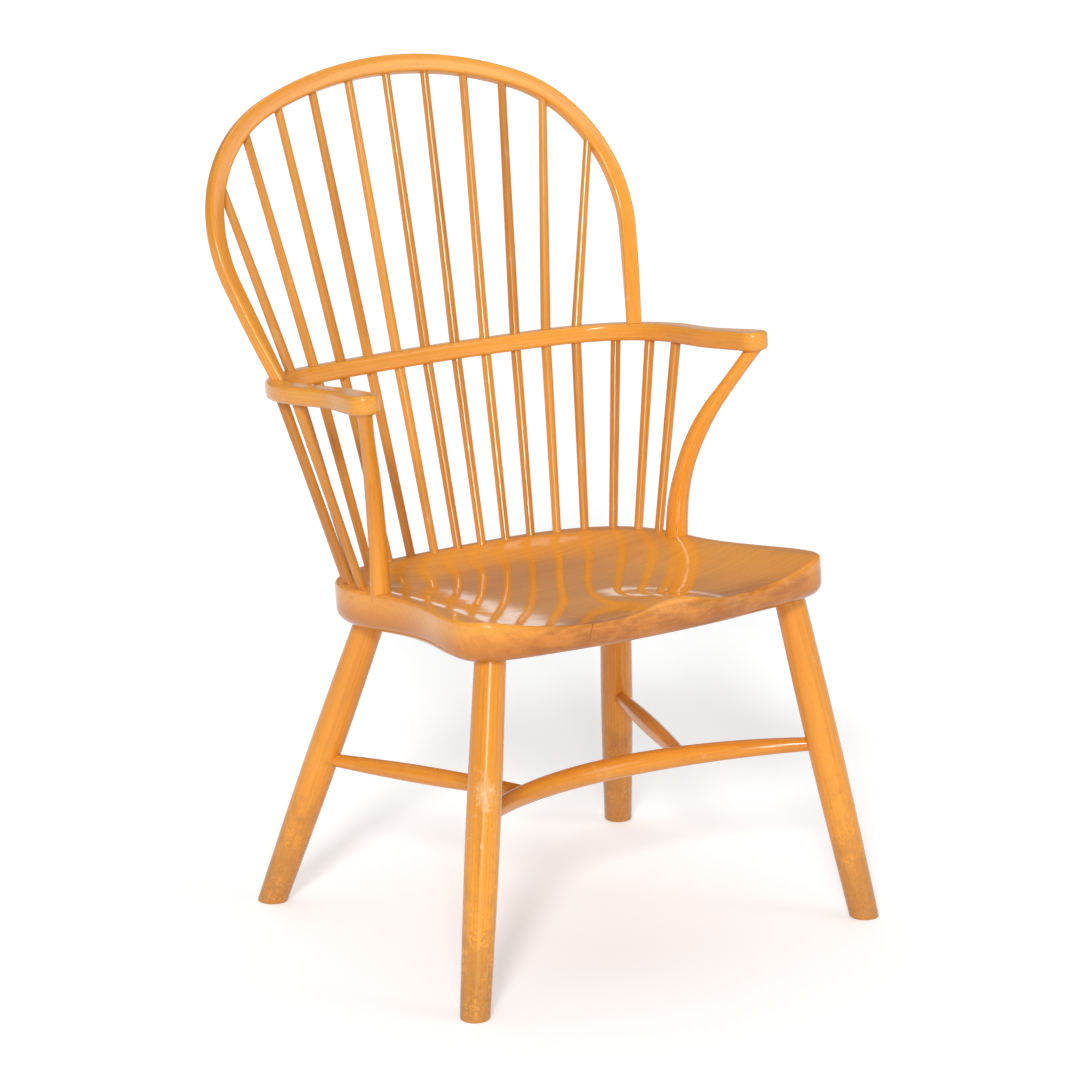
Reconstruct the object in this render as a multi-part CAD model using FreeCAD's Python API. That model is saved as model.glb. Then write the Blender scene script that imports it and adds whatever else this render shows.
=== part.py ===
import FreeCAD, Part
import math
import os
from FreeCAD import Vector

# A double bow armchair in turned and steam bent wood, millimetres.
# +X is the sitter's left, -Y the front, +Z up, and the floor is at zero.

# Seat: a solid board, hollowed on top, that leans back
seat_height = 441.2          # rim of the seat above the floor, over the origin
seat_tilt = 5.8              # degrees, the front is higher
seat_thickness = 50.0
seat_back_y = 166.0          # back edge on the centre line
seat_back_half_width = 242.0
seat_back_fullness = 2.9     # 2 is an ellipse, more is squarer
seat_back_depth = 161.0      # from the back edge to where the sides run straight
seat_waist_half_width = 238.5
seat_waist_y = -55.0
seat_flare_inset = 3.0       # the side swings out late, toward the front corner
seat_front_y = -311.0        # front edge on the centre line
seat_front_half_width = 269.5
seat_corner_radius = 50.0    # front corners, seen from above
seat_corner_y = -231.0       # centres of the front corners
seat_corner_start = 12.0     # degrees behind square where the side becomes the corner
seat_under_round = 17.0      # radius under the edge
seat_rim_round = 4.5         # radius along the rim
hollow_depth = 20.0
hollow_border = 20.0         # flat border left outside the hollow
hollow_back_border = 12.0
hollow_front_border = 6.0
hollow_turn_y = 30.0         # where the rounded back of the hollow begins
hollow_sharpness = 4.0       # higher is a flatter floor with steeper banks
hollow_bank = 1.5            # higher is a softer start at the border
hollow_grid = 15             # places measured each way to shape the hollow
hollow_margin = 40.0         # how far the cutting surface runs past the seat
pommel_rise = 14.0
pommel_width = 50.0
pommel_length = 110.0

# Legs: turned, splayed both ways, cut level at the floor
leg_foot_radius = 17.8
leg_sections = [(0.22, 19.7), (0.48, 20.8), (1.0, 18.9)]   # share of the height, radius
leg_tenon_radius = 13.5
leg_tenon_length = 30.0
leg_foot_round = 2.0
leg_spare = 20.0             # extra length that is trimmed off at both ends
front_foot = (298.8, -311.3)
front_leg_top = (225.8, -237.0)
back_foot = (274.2, 173.3)
back_leg_top = (189.0, 74.4)

# Stretchers: a bent one between the front legs, two spurs from the back legs
stretcher_height = 225.4     # at the front legs
stretcher_sweep = 113.0      # how far the bend reaches back behind the front legs
stretcher_drop = 16.0        # how far the bend lies below its ends
stretcher_middle_radius = 13.7
stretcher_end_radius = 7.6
stretcher_sections = 13
stretcher_swell = 0.8        # lower keeps it thick nearer its ends
spur_height = 195.5          # at the back legs
spur_turn = 19.0             # degrees round the bend, from the centre line to a spur
spur_drop = 4.8              # the spurs enter the bend below its middle
spur_middle_radius = 11.4
spur_end_radius = 7.2

# Arm bow: one bent rail, the hands widened and rounded at the front
arm_height = 702.4           # top of the bow above the floor, over the origin
arm_tilt = 6.8               # degrees, the hands are higher
arm_back_thickness = 21.5
arm_hand_thickness = 23.5
arm_back_width = 23.5
arm_side_width = 29.0
arm_edge_points = 9          # places that shape the bent part of each long edge
arm_back_y = 223.0           # middle of the bow on the centre line
arm_back_radius = 1066.0
arm_back_angle = 10.2
arm_corner_radius = 124.0
arm_corner_angle = 83.0
arm_edge_round = 5.0
arm_waist_y = 0.0
arm_waist_span = 283.5
arm_waist_width = 31.0
hand_radius = 19.5
hand_span = 293.0
hand_y = -77.0

# Back hoop: a bent rail that stands on the arm bow
hoop_lean = 26.4             # degrees back from upright
hoop_foot_station = 299.5    # along the arm bow from the centre line
hoop_foot_inset = 3.5        # inside the middle line of the arm bow
hoop_rise = 378.9            # crown of the middle line above the arm bow, along the lean
hoop_crown_radius = 504.3
hoop_crown_angle = 22.0
hoop_shoulder_radius = 189.0
hoop_shoulder_angle = 80.5
hoop_crown_width = 23.5      # in the plane of the hoop
hoop_crown_depth = 18.0      # front to back
hoop_foot_width = 20.0
hoop_foot_depth = 15.0
hoop_edge_round = 4.0
hoop_leg_twist = 14.0        # degrees the front face turns inward along the legs
hoop_foot_twist = 35.0       # the same at the feet
hoop_twist_start = 350.0     # above the feet
hoop_twist_full = 150.0
hoop_foot_twist_length = 55.0
hoop_sections = 37
hoop_spare = 30.0            # extra length that is trimmed off at the arm bow
hoop_tenon_radius = 6.5
hoop_tenon_length = 16.0

# Spindles: long ones rise through the arm bow to the hoop, short ones end in it
# Their places are distances from the centre line, for the middle spindle and each one outward of it
spindle_seat_inset = 13.5    # from the edge of the seat
spindle_seat_places = [0.0, 36.8, 73.6, 110.4, 147.2, 184.0, 221.5, 258.5, 295.5]
spindle_arm_places = [0.0, 44.5, 89.0, 133.5, 178.0, 220.0, 272.0, 320.5, 368.5]
spindle_hoop_places = [0.0, 58.5, 117.0, 175.5, 239.0, 321.0]
spindle_seat_radius = 5.7
spindle_arm_radius = 6.6
spindle_hoop_radius = 5.4
spindle_seat_tenon = 22.0
spindle_arm_tenon = 15.0
spindle_knee_run = 12.0      # plain length each side of the bend inside the arm bow
spindle_block = 900.0        # size of the block that trims the two runs to a mitre

# Arm posts: bent uprights from the seat to the hands
post_seat_station = 335.0    # along the line of the spindles
post_straight = 15.0         # upright length above the seat
post_lean = 34.2             # degrees outward and forward at the hand
post_bulge = 3.0             # the middle stands outward of the plane of the bend
# share of the length, half depth in the plane of the bend, half width across it
post_sections = [(0.0, 14.2, 13.5), (0.12, 13.7, 11.9), (0.3, 11.8, 11.3), (0.5, 11.5, 10.6),
                 (0.7, 9.8, 9.6), (0.88, 8.8, 9.0), (1.0, 9.2, 9.7)]
post_spare = 12.0            # extra length that is trimmed off at both ends
post_seat_tenon_radius = 9.5
post_seat_tenon_length = 28.0
post_arm_tenon_radius = 6.5
post_arm_tenon_length = 14.0

# Tenons
clearance = 0.12             # for glue, all round
tenon_root = 12.0            # how far a tenon is made back into its own piece

reach = 2000.0               # size of the blocks that trim a piece to a plane
oval_points = 12             # places that shape an oval section


# Places on the two planes that lean back

def on_plane(height, tilt, x, y, up=0.0):
    lean = math.radians(tilt)
    return Vector(x,
                  y * math.cos(lean) + up * math.sin(lean),
                  height - y * math.sin(lean) + up * math.cos(lean))


def on_seat(x, y, up=0.0):
    return on_plane(seat_height, seat_tilt, x, y, up)


def on_arm(x, y, up=0.0):
    return on_plane(arm_height, arm_tilt, x, y, up)


def laid(shape, height, tilt):
    out = shape.copy()
    out.rotate(Vector(0, 0, 0), Vector(1, 0, 0), -tilt)
    out.translate(Vector(0, 0, height))
    return out


def block(height, tilt, above):
    """Everything above or below a leaning plane."""
    base = 0.0 if above else -reach
    box = Part.makeBox(2 * reach, 2 * reach, reach, Vector(-reach, -reach, base))
    return laid(box, height, tilt)


def mirrored(shape):
    return shape.mirror(Vector(0, 0, 0), Vector(1, 0, 0))


# Lines made of arcs that meet without a kink, walked by distance

def walk(start, arcs, station):
    """Point and heading after a distance; the line starts level and turns down."""
    x, y = start
    heading = 0.0
    left = station
    for radius, angle in arcs:
        length = radius * math.radians(angle)
        turn = min(left, length) / radius
        x += radius * (math.sin(heading + turn) - math.sin(heading))
        y += radius * (math.cos(heading + turn) - math.cos(heading))
        heading += turn
        left -= min(left, length)
    return x + left * math.cos(heading), y - left * math.sin(heading), heading


arm_arcs = [(arm_back_radius, arm_back_angle), (arm_corner_radius, arm_corner_angle)]
hoop_arcs = [(hoop_crown_radius, hoop_crown_angle), (hoop_shoulder_radius, hoop_shoulder_angle)]


def arm_place(station, offset=0.0):
    """Plan position on the arm bow, offset outward from its middle line."""
    x, y, heading = walk((0.0, arm_back_y), arm_arcs, station)
    return x + offset * math.sin(heading), y + offset * math.cos(heading)


def arcs_length(arcs):
    return sum(radius * math.radians(angle) for radius, angle in arcs)


# Seat

def seat_half_outline():
    """Half of the outline, from the middle of the back to the middle of the front."""
    turn_y = seat_back_y - seat_back_depth
    power = 2.0 / seat_back_fullness
    points = []
    for degrees in (0, 15, 30, 45, 60, 75, 90):
        a = math.radians(degrees)
        x = seat_back_half_width * max(math.sin(a), 0.0) ** power
        y = turn_y + seat_back_depth * max(math.cos(a), 0.0) ** power
        points.append((x, y))
    points.append((seat_waist_half_width, seat_waist_y))
    corner_x = seat_front_half_width - seat_corner_radius
    rise = seat_corner_y - seat_front_y
    front_radius = (corner_x ** 2 + rise ** 2 - seat_corner_radius ** 2) / (2 * (rise - seat_corner_radius))
    front_centre_y = seat_front_y + front_radius
    flare_x = (seat_waist_half_width + seat_front_half_width) / 2 - seat_flare_inset
    points.append((flare_x, (seat_waist_y + seat_corner_y) / 2))
    last = math.atan2(seat_corner_y - front_centre_y, corner_x)
    first = math.radians(seat_corner_start)
    for share in (0.0, 0.35, 0.7, 1.0):
        a = first + (last - first) * share
        points.append((corner_x + seat_corner_radius * math.cos(a),
                       seat_corner_y + seat_corner_radius * math.sin(a)))
    span = points[-1][0]
    for share in (0.66, 0.33, 0.0):
        x = span * share
        points.append((x, front_centre_y - math.sqrt(front_radius ** 2 - x ** 2)))
    return points


def seat_outline():
    """Closed outline, square to the centre line where it starts in the middle of the back."""
    half = seat_half_outline()
    ring = half + [(-x, y) for x, y in reversed(half[1:-1])]
    curve = Part.BSplineCurve()
    curve.interpolate(Points=[Vector(x, y, 0) for x, y in ring], PeriodicFlag=True,
                      Tangents=[Vector(1, 0, 0)] * len(ring),
                      TangentFlags=[k == 0 for k in range(len(ring))])
    return curve


def seat_line():
    """Distances and places along the line of the spindles, from the middle of the back."""
    curve = seat_outline()
    steps = 600
    span = (curve.LastParameter - curve.FirstParameter) / 2
    table = []
    travelled = 0.0
    for k in range(steps + 1):
        at = curve.FirstParameter + span * k / steps
        tangent = curve.tangent(at)[0]
        inward = Vector(tangent.y, -tangent.x, 0).normalize() * spindle_seat_inset
        here = curve.value(at) + inward
        if table:
            travelled += here.distanceToPoint(table[-1][1])
        table.append((travelled, here))
    return table


spindle_line = seat_line()


def seat_line_place(station):
    """Plan position on the line of the spindles."""
    for (before, near), (after, far) in zip(spindle_line, spindle_line[1:]):
        if after >= station:
            here = near + (far - near) * ((station - before) / (after - before))
            return here.x, here.y
    raise ValueError("the station is past the front of the seat")


def hollow(x, y):
    """Depth of the hollow below the rim at a place on the seat."""
    back_reach = seat_back_y - hollow_back_border - hollow_turn_y
    back_half = seat_back_half_width - hollow_border
    front_half = seat_front_half_width - hollow_front_border
    if y > hollow_turn_y:
        share = math.hypot(x / back_half, (y - hollow_turn_y) / back_reach)
    else:
        forward = (hollow_turn_y - y) / (hollow_turn_y - seat_front_y)
        half = back_half + (front_half - back_half) * min(forward, 1.2) ** 2
        share = abs(x) / half
    bowl = max(0.0, 1.0 - share ** hollow_sharpness) ** hollow_bank
    ahead = max(0.0, (y - seat_front_y) / pommel_length)
    pommel = pommel_rise * math.exp(-(x / pommel_width) ** 2) * math.exp(-ahead ** 2)
    return max(0.0, hollow_depth * bowl - pommel)


def make_seat():
    wire = Part.Wire([seat_outline().toShape()])
    wire.translate(Vector(0, 0, -seat_thickness))
    board = Part.Face(wire).extrude(Vector(0, 0, 2 * seat_thickness))
    under = [edge for edge in board.Edges
             if abs(edge.BoundBox.ZMin + seat_thickness) < 1e-3 and edge.BoundBox.ZLength < 1e-3]
    board = board.makeFillet(seat_under_round, under)
    width = 2 * (seat_front_half_width + hollow_margin)
    depth = seat_back_y - seat_front_y + 2 * hollow_margin
    grid = []
    for i in range(hollow_grid):
        x = -width / 2 + width * i / (hollow_grid - 1)
        line = []
        for j in range(hollow_grid):
            y = seat_front_y - hollow_margin + depth * j / (hollow_grid - 1)
            line.append(Vector(x, y, -hollow(x, y)))
        grid.append(line)
    surface = Part.BSplineSurface()
    surface.interpolate(grid)
    above = surface.toShape().extrude(Vector(0, 0, 3 * seat_thickness))
    board = board.cut(above)
    board = board.Solids[0]
    rim = [edge for edge in board.Edges
           if edge.BoundBox.ZMin > -hollow_depth - 5.0 and edge.BoundBox.XLength > seat_corner_radius]
    board = board.makeFillet(seat_rim_round, rim)
    return laid(board, seat_height, seat_tilt)


# Round pieces that follow a line

def oval(centre, side, front, side_radius, front_radius):
    """Closed smooth section."""
    points = []
    for k in range(oval_points):
        a = 2 * math.pi * k / oval_points
        points.append(centre + side * (side_radius * math.cos(a)) + front * (front_radius * math.sin(a)))
    curve = Part.BSplineCurve()
    curve.interpolate(Points=points, PeriodicFlag=True)
    return Part.Wire([curve.toShape()])


def ring(centre, direction, radius):
    return Part.Wire([Part.makeCircle(radius, centre, direction)])


def turned(start, end, radii, plain_start=0.0, plain_end=0.0):
    """Straight turned stick: radii at equal steps between two plain runs at its ends."""
    length = start.distanceToPoint(end)
    shaped = length - plain_start - plain_end
    last = len(radii) - 1
    spots = [Vector(radius, 0, plain_start + shaped * k / last) for k, radius in enumerate(radii)]
    side = Part.BSplineCurve()
    side.interpolate(Points=spots, InitialTangent=Vector(0, 0, 1), FinalTangent=Vector(0, 0, 1))
    corners = [spots[-1], Vector(radii[-1], 0, length), Vector(0, 0, length), Vector(0, 0, 0),
               Vector(radii[0], 0, 0), spots[0]]
    edges = [side.toShape()]
    for near, far in zip(corners, corners[1:]):
        if near.distanceToPoint(far) > 1e-6:
            edges.append(Part.makeLine(near, far))
    body = Part.Face(Part.Wire(edges)).revolve(Vector(0, 0, 0), Vector(0, 0, 1), 360)
    body.Placement = FreeCAD.Placement(start, FreeCAD.Rotation(Vector(0, 0, 1), end - start))
    return body


# Legs

def leg_axis(top, foot):
    """Where the axis meets the underside of the seat, and the floor."""
    return on_seat(top[0], top[1], -seat_thickness), Vector(foot[0], foot[1], 0)


def make_leg(top, foot):
    high, low = leg_axis(top, foot)
    length = high.distanceToPoint(low)
    neck = leg_sections[-1][1]
    side = Part.BSplineCurve()
    side.interpolate([Vector(leg_foot_radius, 0, -leg_spare)]
                     + [Vector(radius, 0, length * share) for share, radius in leg_sections])
    below = Part.makeLine(Vector(0, 0, -leg_spare), Vector(leg_foot_radius, 0, -leg_spare))
    neck_side = Part.makeLine(Vector(neck, 0, length), Vector(neck, 0, length + leg_spare))
    top_line = Part.makeLine(Vector(neck, 0, length + leg_spare), Vector(0, 0, length + leg_spare))
    axis_line = Part.makeLine(Vector(0, 0, length + leg_spare), Vector(0, 0, -leg_spare))
    outline = Part.Wire([below, side.toShape(), neck_side, top_line, axis_line])
    body = Part.Face(outline).revolve(Vector(0, 0, 0), Vector(0, 0, 1), 360)
    body.Placement = FreeCAD.Placement(low, FreeCAD.Rotation(Vector(0, 0, 1), high - low))
    under_seat = block(seat_height - seat_thickness / math.cos(math.radians(seat_tilt)), seat_tilt, True)
    body = body.cut(under_seat).cut(block(0.0, 0.0, False))
    sole = [edge for edge in body.Edges if edge.BoundBox.ZMax < 0.01]
    body = body.makeFillet(leg_foot_round, sole)
    return body.fuse(leg_tenon(top, foot, 0.0)).removeSplitter().Solids[0]


def leg_tenon(top, foot, extra):
    high, low = leg_axis(top, foot)
    unit = (high - low).normalize()
    return Part.makeCylinder(leg_tenon_radius + extra, tenon_root + leg_tenon_length + extra,
                             high - unit * tenon_root, unit)


def along_leg(top, foot, height):
    high, low = leg_axis(top, foot)
    return low + (high - low) * (height / high.z)


# Stretchers

def stretcher_arc():
    """Half span and radius of the bend, from the axes of the front legs."""
    end = along_leg(front_leg_top, front_foot, stretcher_height)
    radius = (end.x ** 2 + stretcher_sweep ** 2) / (2 * stretcher_sweep)
    return end, radius


def stretcher_place(angle):
    """Point and direction on the bend, by its angle from the centre line."""
    end, radius = stretcher_arc()
    back = end.y + stretcher_sweep
    point = Vector(radius * math.sin(angle), back - radius * (1 - math.cos(angle)), 0)
    forward = (back - point.y) / stretcher_sweep
    point.z = stretcher_height - stretcher_drop * (1 - forward)
    slope = stretcher_drop / stretcher_sweep
    direction = Vector(math.cos(angle), -math.sin(angle), math.sin(angle) * slope)
    return point, direction


def make_stretcher(extra=0.0):
    end, radius = stretcher_arc()
    reach_angle = math.asin(end.x / radius)
    stations = []
    for k in range(stretcher_sections):
        share = 2 * k / (stretcher_sections - 1) - 1
        point, direction = stretcher_place(reach_angle * share)
        swell = math.cos(math.pi / 2 * share) ** stretcher_swell if abs(share) < 1 else 0.0
        size = stretcher_end_radius + (stretcher_middle_radius - stretcher_end_radius) * swell
        stations.append((point, direction, size + extra))
    return Part.makeLoft([ring(*station) for station in stations], True, False)


def make_spur(extra=0.0):
    start = along_leg(back_leg_top, back_foot, spur_height)
    end = stretcher_place(math.radians(spur_turn))[0] - Vector(0, 0, spur_drop)
    middle = spur_middle_radius + extra
    tip = spur_end_radius + extra
    return turned(start, end, [tip, (tip + middle) / 2, middle, (tip + middle) / 2, tip])


# Arm bow

def arm_depth(y):
    """Thickness of the bow at a distance behind the origin, square to its top."""
    share = (y - hand_y) / (arm_back_y - hand_y)
    return arm_hand_thickness + (arm_back_thickness - arm_hand_thickness) * share


def under_arm():
    """Height over the origin and lean of the underside of the bow."""
    front = on_arm(0.0, hand_y, -arm_depth(hand_y))
    back = on_arm(0.0, arm_back_y, -arm_depth(arm_back_y))
    slope = (front.z - back.z) / (back.y - front.y)
    return front.z + front.y * slope, math.degrees(math.atan(slope))


def arm_edge(side):
    """One long edge of half the bow, from the middle of the back to the palm."""
    whole = arcs_length(arm_arcs)
    spots = []
    for k in range(arm_edge_points):
        share = k / (arm_edge_points - 1)
        width = arm_back_width + (arm_side_width - arm_back_width) * share
        x, y = arm_place(whole * share, side * width / 2)
        spots.append(Vector(x, y, 0))
    palm = Vector(hand_span + side * hand_radius, hand_y, 0)
    spots.append(Vector(arm_waist_span + side * arm_waist_width / 2, arm_waist_y, 0))
    spots.append(palm)
    curve = Part.BSplineCurve()
    curve.interpolate(Points=spots, InitialTangent=Vector(1, 0, 0), FinalTangent=Vector(0, -1, 0))
    return curve.toShape(), palm


def make_arm_bow():
    outer, outer_palm = arm_edge(1)
    inner, inner_palm = arm_edge(-1)
    tip = Part.Arc(outer_palm, Vector(hand_span, hand_y - hand_radius, 0), inner_palm).toShape()
    half = [outer, tip, inner]
    other = [mirrored(edge) for edge in half]
    wire = Part.Wire(Part.__sortEdges__(half + other))
    bow = Part.Face(wire).extrude(Vector(0, 0, -2 * arm_hand_thickness))
    height, tilt = under_arm()
    bow = laid(bow, arm_height, arm_tilt).cut(block(height, tilt, False)).Solids[0]
    rims = [edge for edge in bow.Edges if edge.Length > 1.5 * arm_hand_thickness]
    return bow.makeFillet(arm_edge_round, rims)


# Back hoop

def hoop_foot():
    x, y = arm_place(hoop_foot_station, -hoop_foot_inset)
    return on_arm(x, y)


def hoop_direction(x, along, forward=0.0):
    """A direction in the plane of the hoop; along is up the lean."""
    lean = math.radians(hoop_lean)
    return Vector(x,
                  along * math.sin(lean) - forward * math.cos(lean),
                  along * math.cos(lean) + forward * math.sin(lean))


def in_hoop(x, along):
    """A point of the middle line of the hoop; along is measured up the lean."""
    foot = hoop_foot()
    return Vector(0, foot.y, foot.z) + hoop_direction(x, along)


def hoop_side_arc():
    """The arc that leaves the shoulder without a kink and ends at the foot."""
    x, along, heading = walk((0.0, hoop_rise), hoop_arcs, arcs_length(hoop_arcs))
    across = hoop_foot().x - x
    bend = math.atan2(along, across) - heading
    return math.hypot(across, along) / (2 * math.sin(bend)), math.degrees(2 * bend)


hoop_line = hoop_arcs + [hoop_side_arc()]


def hoop_place(station):
    """Point of the middle line and its heading, by the distance from the crown."""
    return walk((0.0, hoop_rise), hoop_line, station)


def hoop_twist(station):
    """How far the front face turns inward, in radians."""
    above = arcs_length(hoop_line) - station
    share = (hoop_twist_start - above) / (hoop_twist_start - hoop_twist_full)
    share = min(max(share, 0.0), 1.0)
    leg = hoop_leg_twist * (1 - math.cos(math.pi * share)) / 2
    foot = (hoop_foot_twist - hoop_leg_twist) * math.exp(-(above / hoop_foot_twist_length) ** 2)
    return math.radians(leg + foot)


def make_hoop():
    whole = arcs_length(hoop_line)
    ahead = hoop_direction(0.0, 0.0, 1.0)
    wires = []
    for k in range(hoop_sections):
        share = 2 * k / (hoop_sections - 1) - 1
        sign = 1 if share >= 0 else -1
        station = abs(share) * (whole + hoop_spare)
        x, along, heading = hoop_place(station)
        centre = in_hoop(sign * x, along)
        tangent = hoop_direction(math.cos(heading), -sign * math.sin(heading))
        outward = ahead.cross(tangent).normalize()
        twist = hoop_twist(min(station, whole))
        part = min(station / whole, 1.0)
        width = hoop_crown_width + (hoop_foot_width - hoop_crown_width) * part
        depth = hoop_crown_depth + (hoop_foot_depth - hoop_crown_depth) * part
        wires.append(rounded_bar(centre, outward * math.cos(twist) + ahead * math.sin(twist),
                                 ahead * math.cos(twist) - outward * math.sin(twist),
                                 width, depth, hoop_edge_round))
    hoop = Part.makeLoft(wires, True, False)
    hoop = hoop.cut(block(arm_height, arm_tilt, False)).Solids[0]
    for sign in (1, -1):
        hoop = hoop.fuse(hoop_tenon(sign, 0.0))
    return hoop.removeSplitter().Solids[0]


def rounded_bar(centre, side, front, width, depth, radius):
    """Closed section, a rectangle with rounded corners."""
    edges = []
    w = width / 2
    d = depth / 2
    inset = radius * (1 - math.sqrt(0.5))
    corners = [(1, 1), (-1, 1), (-1, -1), (1, -1)]

    def at(x, y):
        return centre + side * x + front * y

    arcs = []
    for sx, sy in corners:
        ends = [at(sx * w, sy * (d - radius)), at(sx * (w - radius), sy * d)]
        if sx * sy < 0:
            ends.reverse()
        arcs.append((ends[0], at(sx * (w - inset), sy * (d - inset)), ends[1]))
    for k, arc in enumerate(arcs):
        edges.append(Part.Arc(*arc).toShape())
        edges.append(Part.makeLine(arc[2], arcs[(k + 1) % 4][0]))
    return Part.Wire(edges)


def hoop_tenon(sign, extra):
    x, along, heading = hoop_place(arcs_length(hoop_line))
    foot = in_hoop(sign * x, along)
    down = hoop_direction(sign * math.cos(heading), -math.sin(heading))
    return Part.makeCylinder(hoop_tenon_radius + extra, tenon_root + hoop_tenon_length + extra,
                             foot - down * tenon_root, down)


# Spindles

def bent_line(start, knee, end, radius):
    """Point and direction by distance on two straight runs joined by an arc at the knee."""
    first = Vector(knee - start).normalize()
    second = Vector(end - knee).normalize()
    turn = first.getAngle(second)
    cut = radius * math.tan(turn / 2)
    run_one = start.distanceToPoint(knee) - cut
    run_two = end.distanceToPoint(knee) - cut
    bend = radius * turn
    inward = Vector(second - first * first.dot(second))
    if inward.Length > 1e-9:
        inward.normalize()

    def at(distance):
        if distance <= run_one:
            return start + first * distance, first
        if distance >= run_one + bend:
            return knee + second * (cut + distance - run_one - bend), second
        angle = (distance - run_one) / radius
        begin = start + first * run_one
        point = begin + first * (radius * math.sin(angle)) + inward * (radius * (1 - math.cos(angle)))
        return point, (first * math.cos(angle) + inward * math.sin(angle)).normalize()

    return at, run_one, bend, run_two


def seat_spot(number, sign):
    x, y = seat_line_place(spindle_seat_places[number])
    return on_seat(sign * x, y)


def arm_spot(number, sign, share):
    """A point in the thickness of the bow; share is 0 at its top and 1 underneath."""
    x, y = arm_place(spindle_arm_places[number])
    return on_arm(sign * x, y, -arm_depth(y) * share)


def half_spindle(start, knee, end_radius, plain_start, extra):
    """One straight run, thickest at the knee and carried a little past it."""
    unit = Vector(knee - start).normalize()
    swell = [(1 - math.cos(math.pi * k / 4)) / 2 for k in range(5)]
    radii = [end_radius + (spindle_arm_radius - end_radius) * part + extra for part in swell]
    return turned(start - unit * extra, knee + unit * spindle_knee_run, radii,
                  plain_start + extra, 2 * spindle_knee_run)


def make_long_spindle(number, sign, extra=0.0):
    """Two runs that meet at a mitre hidden in the thickness of the arm bow."""
    low = seat_spot(number, sign)
    knee = arm_spot(number, sign, 0.5)
    x, along, heading = hoop_place(spindle_hoop_places[number])
    high = in_hoop(sign * x, along)
    up = Vector(knee - low).normalize()
    down = Vector(knee - high).normalize()
    mitre = (up - down).normalize()
    below = half_spindle(low - up * spindle_seat_tenon, knee, spindle_seat_radius,
                         spindle_seat_tenon, extra)
    above = half_spindle(high, knee, spindle_hoop_radius, 0.0, extra)
    side = Part.makeBox(spindle_block, spindle_block, spindle_block,
                        Vector(-spindle_block / 2, -spindle_block / 2, 0))
    side.Placement = FreeCAD.Placement(knee, FreeCAD.Rotation(Vector(0, 0, 1), mitre)) * side.Placement
    below = below.cut(side)
    above = above.common(side)
    return below.fuse(above).removeSplitter().Solids[0]


def make_short_spindle(number, sign, extra=0.0):
    low = seat_spot(number, sign)
    under = arm_spot(number, sign, 1.0)
    unit = Vector(under - low).normalize()
    start = low - unit * (spindle_seat_tenon + extra)
    end = under + unit * (spindle_arm_tenon + extra)
    ends = spindle_seat_radius + extra
    belly = spindle_arm_radius + extra
    return turned(start, end, [ends, (ends + belly) / 2, belly, belly],
                  spindle_seat_tenon, spindle_arm_tenon)


# Arm posts

def post_line(sign):
    """Foot on the seat, top under the hand, and the bent line between them."""
    x, y = seat_line_place(post_seat_station)
    low = on_seat(sign * x, y)
    high = on_arm(sign * hand_span, hand_y, -arm_hand_thickness)
    out = Vector(high.x - low.x, high.y - low.y, 0)
    across = out.Length
    out.normalize()
    up = Vector(0, 0, 1)
    lean = math.radians(post_lean)
    rise = high.z - low.z - post_straight
    radius = (math.tan(lean) * rise - across) / (math.tan(lean) * math.sin(lean) - (1 - math.cos(lean)))
    knee = low + up * (post_straight + radius * math.tan(lean / 2))
    flat, run_one, bend, run_two = bent_line(low, knee, high, radius)
    whole = run_one + bend + run_two
    aside = Vector(-out.y * sign, out.x * sign, 0)

    def at(distance):
        point, direction = flat(distance)
        inside = min(max(distance, 0.0), whole)
        slope = post_bulge * math.pi / whole * math.cos(math.pi * inside / whole)
        offset = post_bulge * math.sin(math.pi * inside / whole) + slope * (distance - inside)
        return point + aside * offset, (direction + aside * slope).normalize()

    return at, whole, out


def make_post(sign, seat_board):
    at, whole, out = post_line(sign)
    side = out.cross(Vector(0, 0, 1)).normalize()
    first = post_sections[0]
    last = post_sections[-1]
    sections = [(-post_spare, first[1], first[2])]
    sections += [(whole * share, depth, width) for share, depth, width in post_sections]
    sections.append((whole + post_spare, last[1], last[2]))
    wires = []
    for mark, depth, width in sections:
        point, direction = at(mark)
        front = direction.cross(side).normalize()
        wires.append(oval(point, front, front.cross(direction), depth, width))
    body = Part.makeLoft(wires, True, False)
    height, tilt = under_arm()
    body = body.cut(block(height, tilt, True))
    body = body.cut(seat_board).Solids
    body = max(body, key=lambda solid: solid.Volume)
    for tenon in post_tenons(sign, 0.0):
        body = body.fuse(tenon)
    return body.removeSplitter().Solids[0]


def post_tenons(sign, extra):
    at, whole, out = post_line(sign)
    foot, down = at(0.0)
    top, up = at(whole)
    low = Part.makeCylinder(post_seat_tenon_radius + extra,
                            tenon_root + post_seat_tenon_length + extra,
                            foot + down * tenon_root, down * -1)
    high = Part.makeCylinder(post_arm_tenon_radius + extra,
                             tenon_root + post_arm_tenon_length + extra,
                             top - up * tenon_root, up)
    return [low, high]


def without(piece, cutters):
    for cutter in cutters:
        piece = piece.cut(cutter)
    return max(piece.Solids, key=lambda solid: solid.Volume)


# The whole chair

pieces = {}
blank_seat = make_seat()
seat_cuts = []
arm_cuts = []
hoop_cuts = []
front_leg_cuts = [make_stretcher(clearance)]
back_leg_cuts = [make_spur(clearance)]

for name, top, foot, cuts in (("front", front_leg_top, front_foot, front_leg_cuts),
                              ("back", back_leg_top, back_foot, back_leg_cuts)):
    leg = without(make_leg(top, foot), cuts)
    pieces["leg_" + name + "_left"] = leg
    pieces["leg_" + name + "_right"] = mirrored(leg)
    socket = leg_tenon(top, foot, clearance)
    seat_cuts += [socket, mirrored(socket)]

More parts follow.
